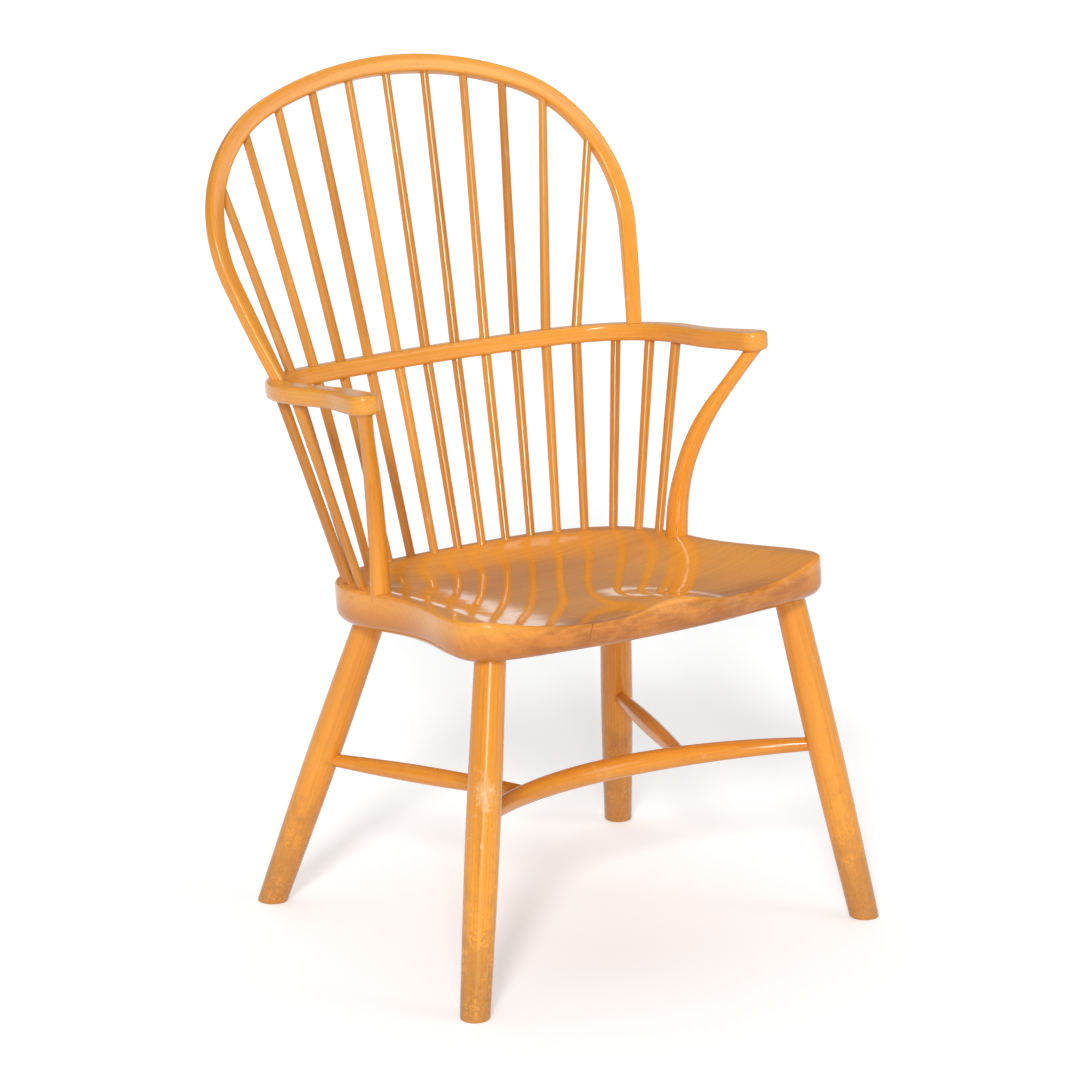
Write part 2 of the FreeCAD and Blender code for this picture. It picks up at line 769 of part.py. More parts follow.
spur = make_spur()
pieces["spur_left"] = spur
pieces["spur_right"] = mirrored(spur)
spur_socket = make_spur(clearance)
pieces["stretcher_bow"] = without(make_stretcher(), [spur_socket, mirrored(spur_socket)])

last_long = len(spindle_hoop_places) - 1
for number in range(-last_long, last_long + 1):
    sign = 1 if number >= 0 else -1
    pieces["spindle_%02d" % (number + last_long + 1)] = make_long_spindle(abs(number), sign)
    hole = make_long_spindle(abs(number), sign, clearance)
    seat_cuts.append(hole)
    arm_cuts.append(hole)
    hoop_cuts.append(hole)

post = make_post(1, blank_seat)
for side, sign in (("left", 1), ("right", -1)):
    for number in range(last_long + 1, len(spindle_arm_places)):
        pieces["arm_spindle_%s_%d" % (side, number - last_long)] = make_short_spindle(number, sign)
        hole = make_short_spindle(number, sign, clearance)
        seat_cuts.append(hole)
        arm_cuts.append(hole)
    pieces["arm_post_" + side] = post if sign > 0 else mirrored(post)
    low, high = post_tenons(sign, clearance)
    seat_cuts.append(low)
    arm_cuts.append(high)
    arm_cuts.append(hoop_tenon(sign, clearance))

pieces["seat"] = without(blank_seat, seat_cuts)
pieces["arm_bow"] = without(make_arm_bow(), arm_cuts)
pieces["back_hoop"] = without(make_hoop(), hoop_cuts)

os.makedirs("parts", exist_ok=True)
for name, shape in sorted(pieces.items()):
    print(name, round(shape.Volume / 1000.0, 1), "cm3", shape.isValid(), len(shape.Solids))
    shape.exportStep("parts/" + name + ".step")
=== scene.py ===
import bpy
import bmesh
import math
import random
import numpy as np
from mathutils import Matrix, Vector


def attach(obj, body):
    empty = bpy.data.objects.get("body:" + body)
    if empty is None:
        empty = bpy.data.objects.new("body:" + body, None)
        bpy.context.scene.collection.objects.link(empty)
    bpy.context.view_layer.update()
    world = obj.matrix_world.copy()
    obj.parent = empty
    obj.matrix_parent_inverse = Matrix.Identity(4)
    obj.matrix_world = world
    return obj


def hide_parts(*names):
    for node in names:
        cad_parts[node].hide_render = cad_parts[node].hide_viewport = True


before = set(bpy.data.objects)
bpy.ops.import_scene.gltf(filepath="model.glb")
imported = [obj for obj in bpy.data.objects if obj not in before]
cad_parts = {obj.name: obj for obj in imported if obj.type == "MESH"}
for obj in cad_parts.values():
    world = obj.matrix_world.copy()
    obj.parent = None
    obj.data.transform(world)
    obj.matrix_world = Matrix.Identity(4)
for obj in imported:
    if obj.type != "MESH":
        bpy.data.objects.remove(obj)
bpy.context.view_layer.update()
print("frame loaded:", len(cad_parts), "nodes")

mm = 0.001  # the dictionaries below are in millimetres, the meshes in metres

# planes that lean back: height over the origin, degrees of tilt
seatPlane = {"height": 441.2, "tilt": 5.8}
armPlane = {"height": 702.4, "tilt": 6.8}


def onPlane(plane, x, y, up=0.0):
    lean = math.radians(plane["tilt"])
    return Vector((x,
                   y * math.cos(lean) + up * math.sin(lean),
                   plane["height"] - y * math.sin(lean) + up * math.cos(lean)))


def walk(start, arcs, station):
    # point and heading after a distance along arcs that meet without a kink
    x, y = start
    heading = 0.0
    left = station
    for radius, angle in arcs:
        turn = min(left, radius * math.radians(angle)) / radius
        x += radius * (math.sin(heading + turn) - math.sin(heading))
        y += radius * (math.cos(heading + turn) - math.cos(heading))
        heading += turn
        left -= radius * turn
    return x + left * math.cos(heading), y - left * math.sin(heading), heading


def arcsLength(arcs):
    return sum(radius * math.radians(angle) for radius, angle in arcs)


def smoothCurve(points, closed):
    # cubic spline through the points, by chord length; returns value(share of the length)
    pts = np.array([list(p) for p in points], float)
    if closed:
        pts = np.vstack([pts, pts[:1]])
    steps = np.linalg.norm(np.diff(pts, axis=0), axis=1)
    knots = np.concatenate([[0.0], np.cumsum(steps)])
    count = len(pts)
    matrix = np.zeros((count, count))
    right = np.zeros((count, pts.shape[1]))
    for k in range(1, count - 1):
        before, after = steps[k - 1], steps[k]
        matrix[k, k - 1:k + 2] = before, 2 * (before + after), after
        right[k] = 6 * ((pts[k + 1] - pts[k]) / after - (pts[k] - pts[k - 1]) / before)
    if closed:
        before, after = steps[-1], steps[0]
        matrix[0, 0] = 1
        matrix[0, -1] = -1
        matrix[-1, 0] = 2 * (before + after)
        matrix[-1, 1] = after
        matrix[-1, -2] = before
        right[-1] = 6 * ((pts[1] - pts[0]) / after - (pts[-1] - pts[-2]) / before)
    else:
        matrix[0, 0] = matrix[-1, -1] = 1
    bend = np.linalg.solve(matrix, right)

    def at(share):
        t = min(max(share, 0.0), 1.0) * knots[-1]
        k = min(int(np.searchsorted(knots, t, side="right")) - 1, count - 2)
        h = steps[k]
        a, b = (knots[k + 1] - t) / h, (t - knots[k]) / h
        curve = (a ** 3 - a) * bend[k] + (b ** 3 - b) * bend[k + 1]
        return a * pts[k] + b * pts[k + 1] + curve * h * h / 6

    return at


# short calls that add and join nodes, for the finishes and for the geometry tree
class Bench:
    def __init__(self, tree):
        self.nodes = tree.nodes
        self.links = tree.links

    def add(self, kind, inputs=None, **settings):
        made = self.nodes.new(kind)
        for key, value in settings.items():
            setattr(made, key, value)
        for key, value in (inputs or {}).items():
            if isinstance(value, bpy.types.NodeSocket):
                self.links.new(value, made.inputs[key])
            else:
                made.inputs[key].default_value = value
        return made

    def math(self, operation, *values, clamp=False):
        made = self.add("ShaderNodeMath", dict(enumerate(values)), operation=operation, use_clamp=clamp)
        return made.outputs[0]

    def times(self, first, second):
        return self.math("MULTIPLY", first, second)

    def vector(self, operation, *values):
        return self.add("ShaderNodeVectorMath", dict(enumerate(values)), operation=operation).outputs[0]

    def split(self, vector):
        return self.add("ShaderNodeSeparateXYZ", {0: vector}).outputs

    def noise(self, vector, scale, detail=2.0, rough=0.5):
        inputs = {"Vector": vector, "Scale": scale, "Detail": detail, "Roughness": rough}
        return self.add("ShaderNodeTexNoise", inputs).outputs[0]

    def ramp(self, value, low, high):
        # 0 at low, 1 at high, smooth between
        inputs = {"Value": value, "From Min": low, "From Max": high}
        return self.add("ShaderNodeMapRange", inputs, interpolation_type="SMOOTHSTEP").outputs[0]

    def mix(self, share, first, second):
        made = self.add("ShaderNodeMix", {0: share, 6: first, 7: second}, data_type="RGBA", clamp_factor=True)
        return made.outputs[2]


def emptyBench(owner):
    owner.use_nodes = True
    owner.node_tree.nodes.clear()
    return Bench(owner.node_tree)


def newObject(name, data):
    made = bpy.data.objects.new(name, data)
    bpy.context.scene.collection.objects.link(made)
    return made


# geometry nodes: one tree that makes every stick and rail from its own path
def makeBarTree():
    tree = bpy.data.node_groups.new("barAlongPath", "GeometryNodeTree")
    for label, kind in (("Path", "Geometry"), ("Sides", "Int"), ("Edge Round", "Float"),
                        ("Grain Shift", "Vector"), ("Tone", "Float"), ("Finish", "Material")):
        tree.interface.new_socket(name=label, in_out="INPUT", socket_type="NodeSocket" + kind)
    tree.interface.new_socket(name="Bar", in_out="OUTPUT", socket_type="NodeSocketGeometry")
    b = Bench(tree)

    def named(name, kind="FLOAT_VECTOR"):
        return b.add("GeometryNodeInputNamedAttribute", {"Name": name}, data_type=kind).outputs["Attribute"]

    def stored(geometry, name, value, kind="FLOAT_VECTOR"):
        inputs = {"Geometry": geometry, "Name": name, "Value": value}
        made = b.add("GeometryNodeStoreNamedAttribute", inputs, data_type=kind, domain="POINT")
        return made.outputs["Geometry"]

    def combined(x, y, z=0.0):
        return b.add("ShaderNodeCombineXYZ", {0: x, 1: y, 2: z}).outputs[0]

    start = b.add("NodeGroupInput").outputs
    curve = b.add("GeometryNodeMeshToCurve", {"Mesh": start["Path"]}).outputs["Curve"]
    # the ring starts half a step round, so no point lies on an axis, where its sign would be 0
    circle = b.add("GeometryNodeCurvePrimitiveCircle", {"Resolution": start["Sides"]}, mode="RADIUS")
    index = b.add("GeometryNodeInputIndex").outputs[0]
    turn = b.math("DIVIDE", b.math("ADD", index, 0.5), start["Sides"])
    turn = b.times(turn, 2 * math.pi)
    ringPoint = combined(b.math("COSINE", turn), b.math("SINE", turn))
    profile = stored(circle.outputs["Curve"], "ring", ringPoint)
    sweep = b.add("GeometryNodeCurveToMesh", {"Curve": curve, "Profile Curve": profile, "Fill Caps": True})

    ring = b.split(named("ring"))
    place = named("centre")
    spans = []
    for part, size, way in ((ring[0], "halfWidth", "side"), (ring[1], "halfDepth", "front")):
        half = named(size, "FLOAT")
        corner = b.math("MINIMUM", half, start["Edge Round"])
        flat = b.times(b.math("SIGN", part), b.math("SUBTRACT", half, corner))
        span = b.math("ADD", flat, b.times(corner, part))
        spans.append(span)
        offset = b.add("ShaderNodeVectorMath", {0: named(way), "Scale": span}, operation="SCALE")
        place = b.vector("ADD", place, offset.outputs[0])

    # where each point lies in the straight stick that was bent: across, deep, along
    wood = b.vector("ADD", combined(*spans, named("along", "FLOAT")), start["Grain Shift"])
    shape = stored(sweep.outputs["Mesh"], "wood", wood)
    shape = stored(shape, "tone", start["Tone"], "FLOAT")
    shape = b.add("GeometryNodeSetPosition", {"Geometry": shape, "Position": place}).outputs["Geometry"]
    shape = b.add("GeometryNodeSetShadeSmooth", {"Geometry": shape}).outputs["Geometry"]
    # a face with more than four corners is a flat end
    corners = b.add("GeometryNodeInputMeshFaceNeighbors").outputs["Vertex Count"]
    ends = {"Geometry": shape, "Selection": b.math("GREATER_THAN", corners, 4.5), "Shade Smooth": False}
    shape = b.add("GeometryNodeSetShadeSmooth", ends).outputs["Geometry"]
    for name in ("centre", "side", "front", "halfWidth", "halfDepth", "along", "ring"):
        shape = b.add("GeometryNodeRemoveAttribute", {"Geometry": shape, "Name": name}).outputs["Geometry"]
    shape = b.add("GeometryNodeRealizeInstances", {"Geometry": shape}).outputs["Geometry"]
    bar = b.add("GeometryNodeSetMaterial", {"Geometry": shape, "Material": start["Finish"]})
    b.add("NodeGroupOutput", {"Bar": bar.outputs["Geometry"]})
    return tree


barTree = makeBarTree()
barSockets = {item.name: item.identifier for item in barTree.interface.items_tree}


def facesOut(mesh):
    work = bmesh.new()
    work.from_mesh(mesh)
    if work.calc_volume(signed=True) < 0:
        bmesh.ops.reverse_faces(work, faces=work.faces)
    work.to_mesh(mesh)
    work.free()


def finishPiece(node, mesh):
    piece = newObject(node + "_wood", mesh)
    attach(piece, "root")
    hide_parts(node)


# how far apart the places are that the pieces are cut from, in metres
grainReach = {"across": 0.06, "along": 9}


def grainShift(name):
    draw = random.Random(name)
    across, along = grainReach["across"], grainReach["along"]
    return Vector((draw.uniform(-across, across), draw.uniform(-across, across), draw.uniform(-along, along)))


def storeVectors(mesh, name, vectors, scale=1.0):
    made = mesh.attributes.new(name, "FLOAT_VECTOR", "POINT")
    made.data.foreach_set("vector", [c * scale for v in vectors for c in v])


def storeNumbers(mesh, name, numbers):
    mesh.attributes.new(name, "FLOAT", "POINT").data.foreach_set("value", numbers)


def makeBar(name, stations, finish, sides, edgeRound=1000.0, tone=0.0):
    # a station is centre, side, front, half width, half depth and distance along, in millimetres
    mesh = bpy.data.meshes.new(name + "_path")
    mesh.from_pydata([s[0] * mm for s in stations], [(k, k + 1) for k in range(len(stations) - 1)], [])
    for label, column, scale in (("centre", 0, mm), ("side", 1, 1.0), ("front", 2, 1.0)):
        storeVectors(mesh, label, [s[column] for s in stations], scale)
    for label, column in (("halfWidth", 3), ("halfDepth", 4), ("along", 5)):
        storeNumbers(mesh, label, [s[column] * mm for s in stations])
    path = newObject(name + "_path", mesh)
    maker = path.modifiers.new("bar", "NODES")
    maker.node_group = barTree
    maker[barSockets["Sides"]] = sides
    maker[barSockets["Edge Round"]] = edgeRound * mm
    maker[barSockets["Grain Shift"]] = grainShift(name)
    maker[barSockets["Tone"]] = tone
    maker[barSockets["Finish"]] = finish
    bpy.context.view_layer.update()
    made = path.evaluated_get(bpy.context.evaluated_depsgraph_get())
    bar = bpy.data.meshes.new_from_object(made)
    bar.name = name
    path.modifiers.clear()
    bpy.data.objects.remove(path)
    facesOut(bar)
    finishPiece(name, bar)


def crossAxes(direction, near):
    # two directions square to a stick, the first as near as can be to a given one
    side = (near - direction * near.dot(direction)).normalized()
    return side, direction.cross(side).normalized()


def mirrored(vector):
    return Vector((-vector.x, vector.y, vector.z))


def mirroredStations(stations):
    return [(*(mirrored(v) for v in s[:3]), *s[3:]) for s in stations]


print("bar tree ready")


# finishes
def makeGroup(name, inputs, outputs):
    group = bpy.data.node_groups.new(name, "ShaderNodeTree")
    for way, sockets in (("INPUT", inputs), ("OUTPUT", outputs)):
        for label, kind in sockets.items():
            group.interface.new_socket(name=label, in_out=way, socket_type="NodeSocket" + kind)
    return group


# stretches are counts per metre across, deep and along the stick
grainLook = {
    "cloud": (9, 9, 2.2), "sway": (14, 14, 3.0), "fibre": (900, 900, 26), "fleck": (1500, 1500, 130),
    "band": (130, 130, 2.6), "swayReach": 0.018, "treeMiddle": 0.11, "ringSharpness": 2.5,
    "fleckLow": 0.63, "fleckHigh": 0.74, "streakLow": 0.52, "streakHigh": 0.78,
    "cloudShare": 1.5, "baseTint": 0.45, "fibreShare": 0.7, "ringShare": 0.22, "fleckShare": 0.35,
}


def makeWoodGroup():
    group = makeGroup("lacqueredWood",
                      {"Wood": "Vector", "Tone": "Float", "Pale": "Color", "Deep": "Color", "Streak": "Color",
                       "Streak Amount": "Float", "Ring Width": "Float"},
                      {"Color": "Color", "Fibre": "Float", "Height": "Float"})
    b = Bench(group)
    start = b.add("NodeGroupInput").outputs
    wood = start["Wood"]

    def streaked(name, detail, rough=0.5):
        return b.noise(b.vector("MULTIPLY", wood, grainLook[name]), 1.0, detail, rough)

    # slow change of colour along and across the stick
    cloud = streaked("cloud", 3.0)
    # year rings, drawn out along the stick and a little wavy
    parts = b.split(wood)
    across = b.math("ADD", parts[0], b.times(streaked("sway", 2.0), grainLook["swayReach"]))
    deep = b.math("ADD", parts[1], grainLook["treeMiddle"])
    radius = b.math("ADD", b.times(across, across), b.times(deep, deep))
    radius = b.math("SQRT", radius)
    rings = b.math("FRACT", b.math("DIVIDE", radius, start["Ring Width"]))
    rings = b.math("POWER", rings, grainLook["ringSharpness"])
    # fibres, the short dark flecks between them and the broader streaks
    fibre = streaked("fibre", 3.0, 0.6)
    fleck = b.ramp(streaked("fleck", 1.0), grainLook["fleckLow"], grainLook["fleckHigh"])
    streak = b.ramp(streaked("band", 4.0, 0.6), grainLook["streakLow"], grainLook["streakHigh"])
    cloudy = b.times(b.math("SUBTRACT", cloud, 0.5), grainLook["cloudShare"])
    tint = b.math("ADD", b.math("ADD", cloudy, grainLook["baseTint"]), start["Tone"])
    tint = b.math("ADD", tint, b.times(b.math("SUBTRACT", fibre, 0.5), grainLook["fibreShare"]))
    tint = b.math("ADD", tint, b.times(rings, grainLook["ringShare"]), clamp=True)
    colour = b.mix(tint, start["Pale"], start["Deep"])
    dark = b.times(streak, start["Streak Amount"])
    dark = b.math("ADD", dark, b.times(fleck, grainLook["fleckShare"]), clamp=True)
    colour = b.mix(dark, colour, start["Streak"])
    height = b.math("SUBTRACT", b.times(fibre, 0.5), b.times(fleck, 0.5))
    b.add("NodeGroupOutput", {"Color": colour, "Fibre": fibre, "Height": height})
    return group


# small chips and broad rubbed patches: counts per metre and where each starts to show
wearLook = {
    "lift": 0.30, "chipScale": 320.0, "chipSquash": 0.45, "chipLow": 0.74, "chipHigh": 0.79,
    "rubScale": 38.0, "rubSquash": 0.6, "rubLow": 0.62, "rubHigh": 0.90,
    "rubShade": 0.45, "chipShade": 0.75, "rubRough": 0.30,
}


def makeWearGroup():
    # both marks grow where the mask is high
    group = makeGroup("wornLacquer", {"Place": "Vector", "Mask": "Float"}, {"Chips": "Float", "Rub": "Float"})
    b = Bench(group)
    start = b.add("NodeGroupInput").outputs
    lifted = b.times(start["Mask"], wearLook["lift"])

    def mark(name, rough):
        place = b.vector("MULTIPLY", start["Place"], (1.0, 1.0, wearLook[name + "Squash"]))
        noise = b.noise(place, wearLook[name + "Scale"], 4.0, rough)
        return b.ramp(b.math("ADD", noise, lifted), wearLook[name + "Low"], wearLook[name + "High"])

    b.add("NodeGroupOutput", {"Chips": mark("chip", 0.62), "Rub": mark("rub", 0.6)})
    return group


woodGroup = makeWoodGroup()
wearGroup = makeWearGroup()

# linear colours, then roughness, relief and marks of each kind of piece
finishes = {
    "seat": {"pale": (0.95, 0.410, 0.060), "deep": (0.76, 0.270, 0.034), "streak": (0.34, 0.100, 0.018),
             "streakAmount": 0.22, "ring": 0.0110, "rough": 0.05, "roughSpread": 0.05,
             "bump": 0.05, "wave": 0.00022, "bare": (0.70, 0.42, 0.19),
             # the edge value paints shade on the side and underside of the seat
             "paintedEdgeShade": 0.5, "soilShade": 0.75, "crack": (-0.120, 0.33, 0.456, 0.428)},
    "bent": {"pale": (0.93, 0.420, 0.062), "deep": (0.68, 0.245, 0.026), "streak": (0.34, 0.110, 0.022),
             "streakAmount": 0.36, "ring": 0.0050, "rough": 0.14, "roughSpread": 0.10,
             "bump": 0.20, "wave": 0.00006, "bare": (0.86, 0.58, 0.32)},
    "turned": {"pale": (0.90, 0.375, 0.045), "deep": (0.64, 0.215, 0.020), "streak": (0.32, 0.110, 0.025),
               "streakAmount": 0.36, "ring": 0.0042, "rough": 0.15, "roughSpread": 0.12,
               "bump": 0.22, "wave": 0.00006, "bare": (0.80, 0.50, 0.24),
               "dirtShade": 0.8, "dirt": (0.40, 0.17, 0.045)},
    "spindle": {"pale": (0.84, 0.380, 0.070), "deep": (0.46, 0.165, 0.026), "streak": (0.26, 0.090, 0.022),
                "streakAmount": 0.40, "ring": 0.0040, "rough": 0.09, "roughSpread": 0.06,
                "bump": 0.18, "wave": 0.00006, "bare": (0.80, 0.52, 0.28)},
}
lacquer = {"ior": 1.48, "waveScale": 52.0, "waveSquash": 0.5, "grainRelief": 0.00006, "chipDepth": 0.00008}


def rgba(colour):
    return (*colour, 1.0)


def makeFinish(name, wearMask):
    look = finishes[name]
    material = bpy.data.materials.new(name + "_lacquer")
    b = emptyBench(material)
    wood = b.add("ShaderNodeAttribute", attribute_name="wood").outputs["Vector"]
    # tone darkens a piece's colour; on the seat it is painted shade on the side and underside
    tone = b.add("ShaderNodeAttribute", attribute_name="tone").outputs["Fac"]
    sound = b.add("ShaderNodeGroup", {"Wood": wood, "Tone": tone}, node_tree=woodGroup)
    for socket, key in (("Pale", "pale"), ("Deep", "deep"), ("Streak", "streak")):
        sound.inputs[socket].default_value = rgba(look[key])
    sound.inputs["Streak Amount"].default_value = look["streakAmount"]
    sound.inputs["Ring Width"].default_value = look["ring"]
    place = b.add("ShaderNodeTexCoord").outputs["Object"]
    worn = b.add("ShaderNodeGroup", {"Place": place, "Mask": wearMask(b, place)}, node_tree=wearGroup)
    chips, rub = worn.outputs["Chips"], worn.outputs["Rub"]
    colour = b.mix(b.times(rub, wearLook["rubShade"]), sound.outputs["Color"], rgba(look["bare"]))
    colour = b.mix(b.times(chips, wearLook["chipShade"]), colour, rgba(look["bare"]))
    if "crack" in look:
        streak = rgba(look["streak"])
        # painted shade: where the seat's tone is high, on its side and underside, the colour is drawn towards
        # the streak colour
        colour = b.mix(b.times(tone, look["paintedEdgeShade"]), colour, streak)
        colour = b.mix(crackMask(b, place, *look["crack"]), colour, streak)
        colour = b.mix(b.times(edgeSoil(b, place), look["soilShade"]), colour, streak)
    if "dirt" in look:
        colour = b.mix(b.times(footDirt(b, place), look["dirtShade"]), colour, rgba(look["dirt"]))
    rough = b.times(sound.outputs["Fibre"], look["roughSpread"])
    rough = b.math("ADD", rough, look["rough"])
    rough = b.math("ADD", rough, b.times(rub, wearLook["rubRough"]), clamp=True)
    wave = b.vector("MULTIPLY", wood, (1.0, 1.0, lacquer["waveSquash"]))
    wave = b.noise(wave, lacquer["waveScale"], 2.0, 0.4)
    relief = b.times(sound.outputs["Height"], lacquer["grainRelief"] * look["bump"])
    height = b.math("ADD", b.times(wave, look["wave"]), relief)
    height = b.math("SUBTRACT", height, b.times(chips, lacquer["chipDepth"]))
    bump = b.add("ShaderNodeBump", {"Height": height, "Strength": 1.0, "Distance": 1.0}).outputs["Normal"]
    inputs = {"Base Color": colour, "Roughness": rough, "Normal": bump, "IOR": lacquer["ior"]}
    surface = b.add("ShaderNodeBsdfPrincipled", inputs)
    b.add("ShaderNodeOutputMaterial", {"Surface": surface.outputs[0]})
    return material


# where the marks lie, in metres: heights over the floor, places in the frame
marks = {
    "patchPlace": (-0.262, -0.285, 0.262), "patchRadius": 0.030, "patchSquash": 0.8, "patchWear": 0.75,
    "lowerPlace": (-0.262, -0.270, 0.215), "lowerRadius": 0.060, "lowerSquash": 0.6, "lowerWear": 0.45,
    "footTop": 0.075, "footBottom": 0.005, "footWear": 0.25, "legWear": 0.10, "dirtTop": 0.26,
    "evenWear": 0.08, "seatWear": 0.06, "frontWear": 0.40, "wornFront": (-0.27, -0.312),
    "seatSlope": 0.1016, "soilFront": (-0.24, -0.30), "soilRim": (0.431, 0.424),
    "crackHalf": (0.0011, 0.0004), "crackFront": (-0.285, -0.295), "crackFade": (0.006, 0.002),
}


def spotMask(b, place, name):
    # strongest at the centre of a soft ball that can be drawn out upright
    away = b.vector("SUBTRACT", place, marks[name + "Place"])
    away = b.vector("MULTIPLY", away, (1.0, 1.0, marks[name + "Squash"]))
    length = b.add("ShaderNodeVectorMath", {0: away}, operation="LENGTH").outputs["Value"]
    radius = marks[name + "Radius"]
    return b.times(b.ramp(length, radius, radius * 0.3), marks[name + "Wear"])


def crackMask(b, place, x, lean, top, bottom):
    # one thin dark crack that runs down the front edge of the seat
    parts = b.split(place)
    wander = b.times(b.math("SUBTRACT", b.noise(place, 90.0, 3.0), 0.5), 0.010)
    along = b.math("MULTIPLY_ADD", b.math("SUBTRACT", parts[2], top), lean, x)
    away = b.math("ABSOLUTE", b.math("SUBTRACT", b.math("ADD", parts[0], wander), along))
    thin = b.ramp(away, *marks["crackHalf"])
    below, above = marks["crackFade"]
    inside = b.times(b.ramp(parts[2], bottom, bottom + below), b.ramp(parts[2], top, top - above))
    return b.times(b.times(thin, inside), b.ramp(parts[1], *marks["crackFront"]))


def edgeSoil(b, place):
    # brown marks on the front edge of the seat, below its rim
    parts = b.split(place)
    spots = b.noise(b.vector("MULTIPLY", place, (0.35, 1.0, 1.0)), 70.0, 5.0, 0.7)
    front = b.ramp(parts[1], *marks["soilFront"])
    below = b.ramp(b.math("MULTIPLY_ADD", parts[1], marks["seatSlope"], parts[2]), *marks["soilRim"])
    return b.times(b.times(b.ramp(spots, 0.30, 0.70), front), below)


def footDirt(b, place):
    # brown specks that thicken towards the floor
    near = b.ramp(b.split(place)[2], marks["dirtTop"], 0.0)
    specks = b.noise(place, 260.0, 4.0, 0.7)
    soft = b.noise(place, 40.0, 3.0, 0.6)
    dots = b.ramp(b.math("MULTIPLY_ADD", near, 0.22, specks), 0.62, 0.76)
    haze = b.times(b.ramp(b.math("MULTIPLY_ADD", near, 0.45, soft), 0.62, 1.0), 0.75)
    return b.math("MAXIMUM", b.times(dots, near), haze)


def legMask(b, place):
    # a little more worn at the floor, and rubbed beside the stretcher on one front leg
    low = b.ramp(b.split(place)[2], marks["footTop"], marks["footBottom"])
    feet = b.math("MULTIPLY_ADD", low, marks["footWear"], marks["legWear"])
    rubbed = b.math("MAXIMUM", spotMask(b, place, "patch"), spotMask(b, place, "lower"))
    return b.math("MAXIMUM", feet, rubbed)


def evenMask(b, place):
    return marks["evenWear"]


def seatMask(b, place):
    # the front edge is the most worn
    front = b.ramp(b.split(place)[1], *marks["wornFront"])
    return b.math("MULTIPLY_ADD", front, marks["frontWear"], marks["seatWear"])


seatFinish = makeFinish("seat", seatMask)
bentFinish = makeFinish("bent", evenMask)
turnedFinish = makeFinish("turned", legMask)
spindleFinish = makeFinish("spindle", evenMask)
print("finishes ready")


def makeTurnedPair(name, stations, sides, leftTone, rightTone):
    makeBar(name + "_left", stations, turnedFinish, sides, tone=leftTone)
    makeBar(name + "_right", mirroredStations(stations), turnedFinish, sides, tone=rightTone)



# the seat: one dished board with a ridge at the front
seat = {
    "thickness": 50.0, "backY": 166.0, "backHalfWidth": 242.0, "backFullness": 2.9, "backDepth": 161.0,
    "waistHalfWidth": 238.5, "waistY": -55.0, "flareInset": 3.0, "frontY": -311.0, "frontHalfWidth": 269.5,
    "cornerRadius": 50.0, "cornerY": -231.0, "cornerStart": 12.0, "underRound": 17.0, "rimRound": 4.5,
    "hollowDepth": 20.0, "border": 20.0, "backBorder": 12.0, "frontBorder": 6.0, "turnY": 30.0,
    "sharpness": 4.0, "bank": 1.5, "ridgeRise": 14.0, "ridgeWidth": 50.0, "ridgeLength": 110.0,
    # the edge tone values paint shade down the side and over the underside
    "paintedShadeTone": 0.75, "paintedShadeToneStart": 17, "paintedShadeToneReach": 20, "around": 360, "rings": 64,
    "ringSpread": 0.75, "middleY": -70.0, "rimStep": 15, "underStep": 10,
    "sideShares": (0.02, 0.3, 0.7, 0.98), "underShares": (0.96, 0.6, 0.3),
}


def seatOutlinePoints():
    turnY = seat["backY"] - seat["backDepth"]
    power = 2.0 / seat["backFullness"]
    points = []
    for degrees in range(0, 91, 15):
        a = math.radians(degrees)
        points.append((seat["backHalfWidth"] * max(math.sin(a), 0.0) ** power,
                       turnY + seat["backDepth"] * max(math.cos(a), 0.0) ** power))
    points.append((seat["waistHalfWidth"], seat["waistY"]))
    radius = seat["cornerRadius"]
    cornerX = seat["frontHalfWidth"] - radius
    rise = seat["cornerY"] - seat["frontY"]
    frontRadius = (cornerX ** 2 + rise ** 2 - radius ** 2) / (2 * (rise - radius))
    frontMiddle = seat["frontY"] + frontRadius
    flareX = (seat["waistHalfWidth"] + seat["frontHalfWidth"]) / 2 - seat["flareInset"]
    points.append((flareX, (seat["waistY"] + seat["cornerY"]) / 2))
    last = math.atan2(seat["cornerY"] - frontMiddle, cornerX)
    first = math.radians(seat["cornerStart"])
    for share in (0.0, 0.35, 0.7, 1.0):
        a = first + (last - first) * share
        points.append((cornerX + radius * math.cos(a), seat["cornerY"] + radius * math.sin(a)))
    span = points[-1][0]
    for share in (0.66, 0.33, 0.0):
        x = span * share
        points.append((x, frontMiddle - math.sqrt(frontRadius ** 2 - x ** 2)))
    return points + [(-x, y) for x, y in reversed(points[1:-1])]


def hollow(x, y):
    backReach = seat["backY"] - seat["backBorder"] - seat["turnY"]
    backHalf = seat["backHalfWidth"] - seat["border"]
    frontHalf = seat["frontHalfWidth"] - seat["frontBorder"]
    if y > seat["turnY"]:
        share = math.hypot(x / backHalf, (y - seat["turnY"]) / backReach)
    else:
        forward = (seat["turnY"] - y) / (seat["turnY"] - seat["frontY"])
        share = abs(x) / (backHalf + (frontHalf - backHalf) * min(forward, 1.2) ** 2)
    bowl = max(0.0, 1.0 - share ** seat["sharpness"]) ** seat["bank"]
    ahead = max(0.0, (y - seat["frontY"]) / seat["ridgeLength"])
    ridge = seat["ridgeRise"] * math.exp(-(x / seat["ridgeWidth"]) ** 2) * math.exp(-ahead ** 2)
    return max(0.0, seat["hollowDepth"] * bowl - ridge)


def seatEdge():
    # points and outward directions, evenly round the outline
    at = smoothCurve(seatOutlinePoints(), True)
    count = seat["around"]
    spots = [at(k / count) for k in range(count)]
    edge = []
    for k, spot in enumerate(spots):
        along = spots[(k + 1) % count] - spots[k - 1]
        out = np.array([-along[1], along[0]]) / np.linalg.norm(along)
        edge.append((spot, out if out @ (spot - np.array([0.0, seat["middleY"]])) > 0 else -out))
    return edge


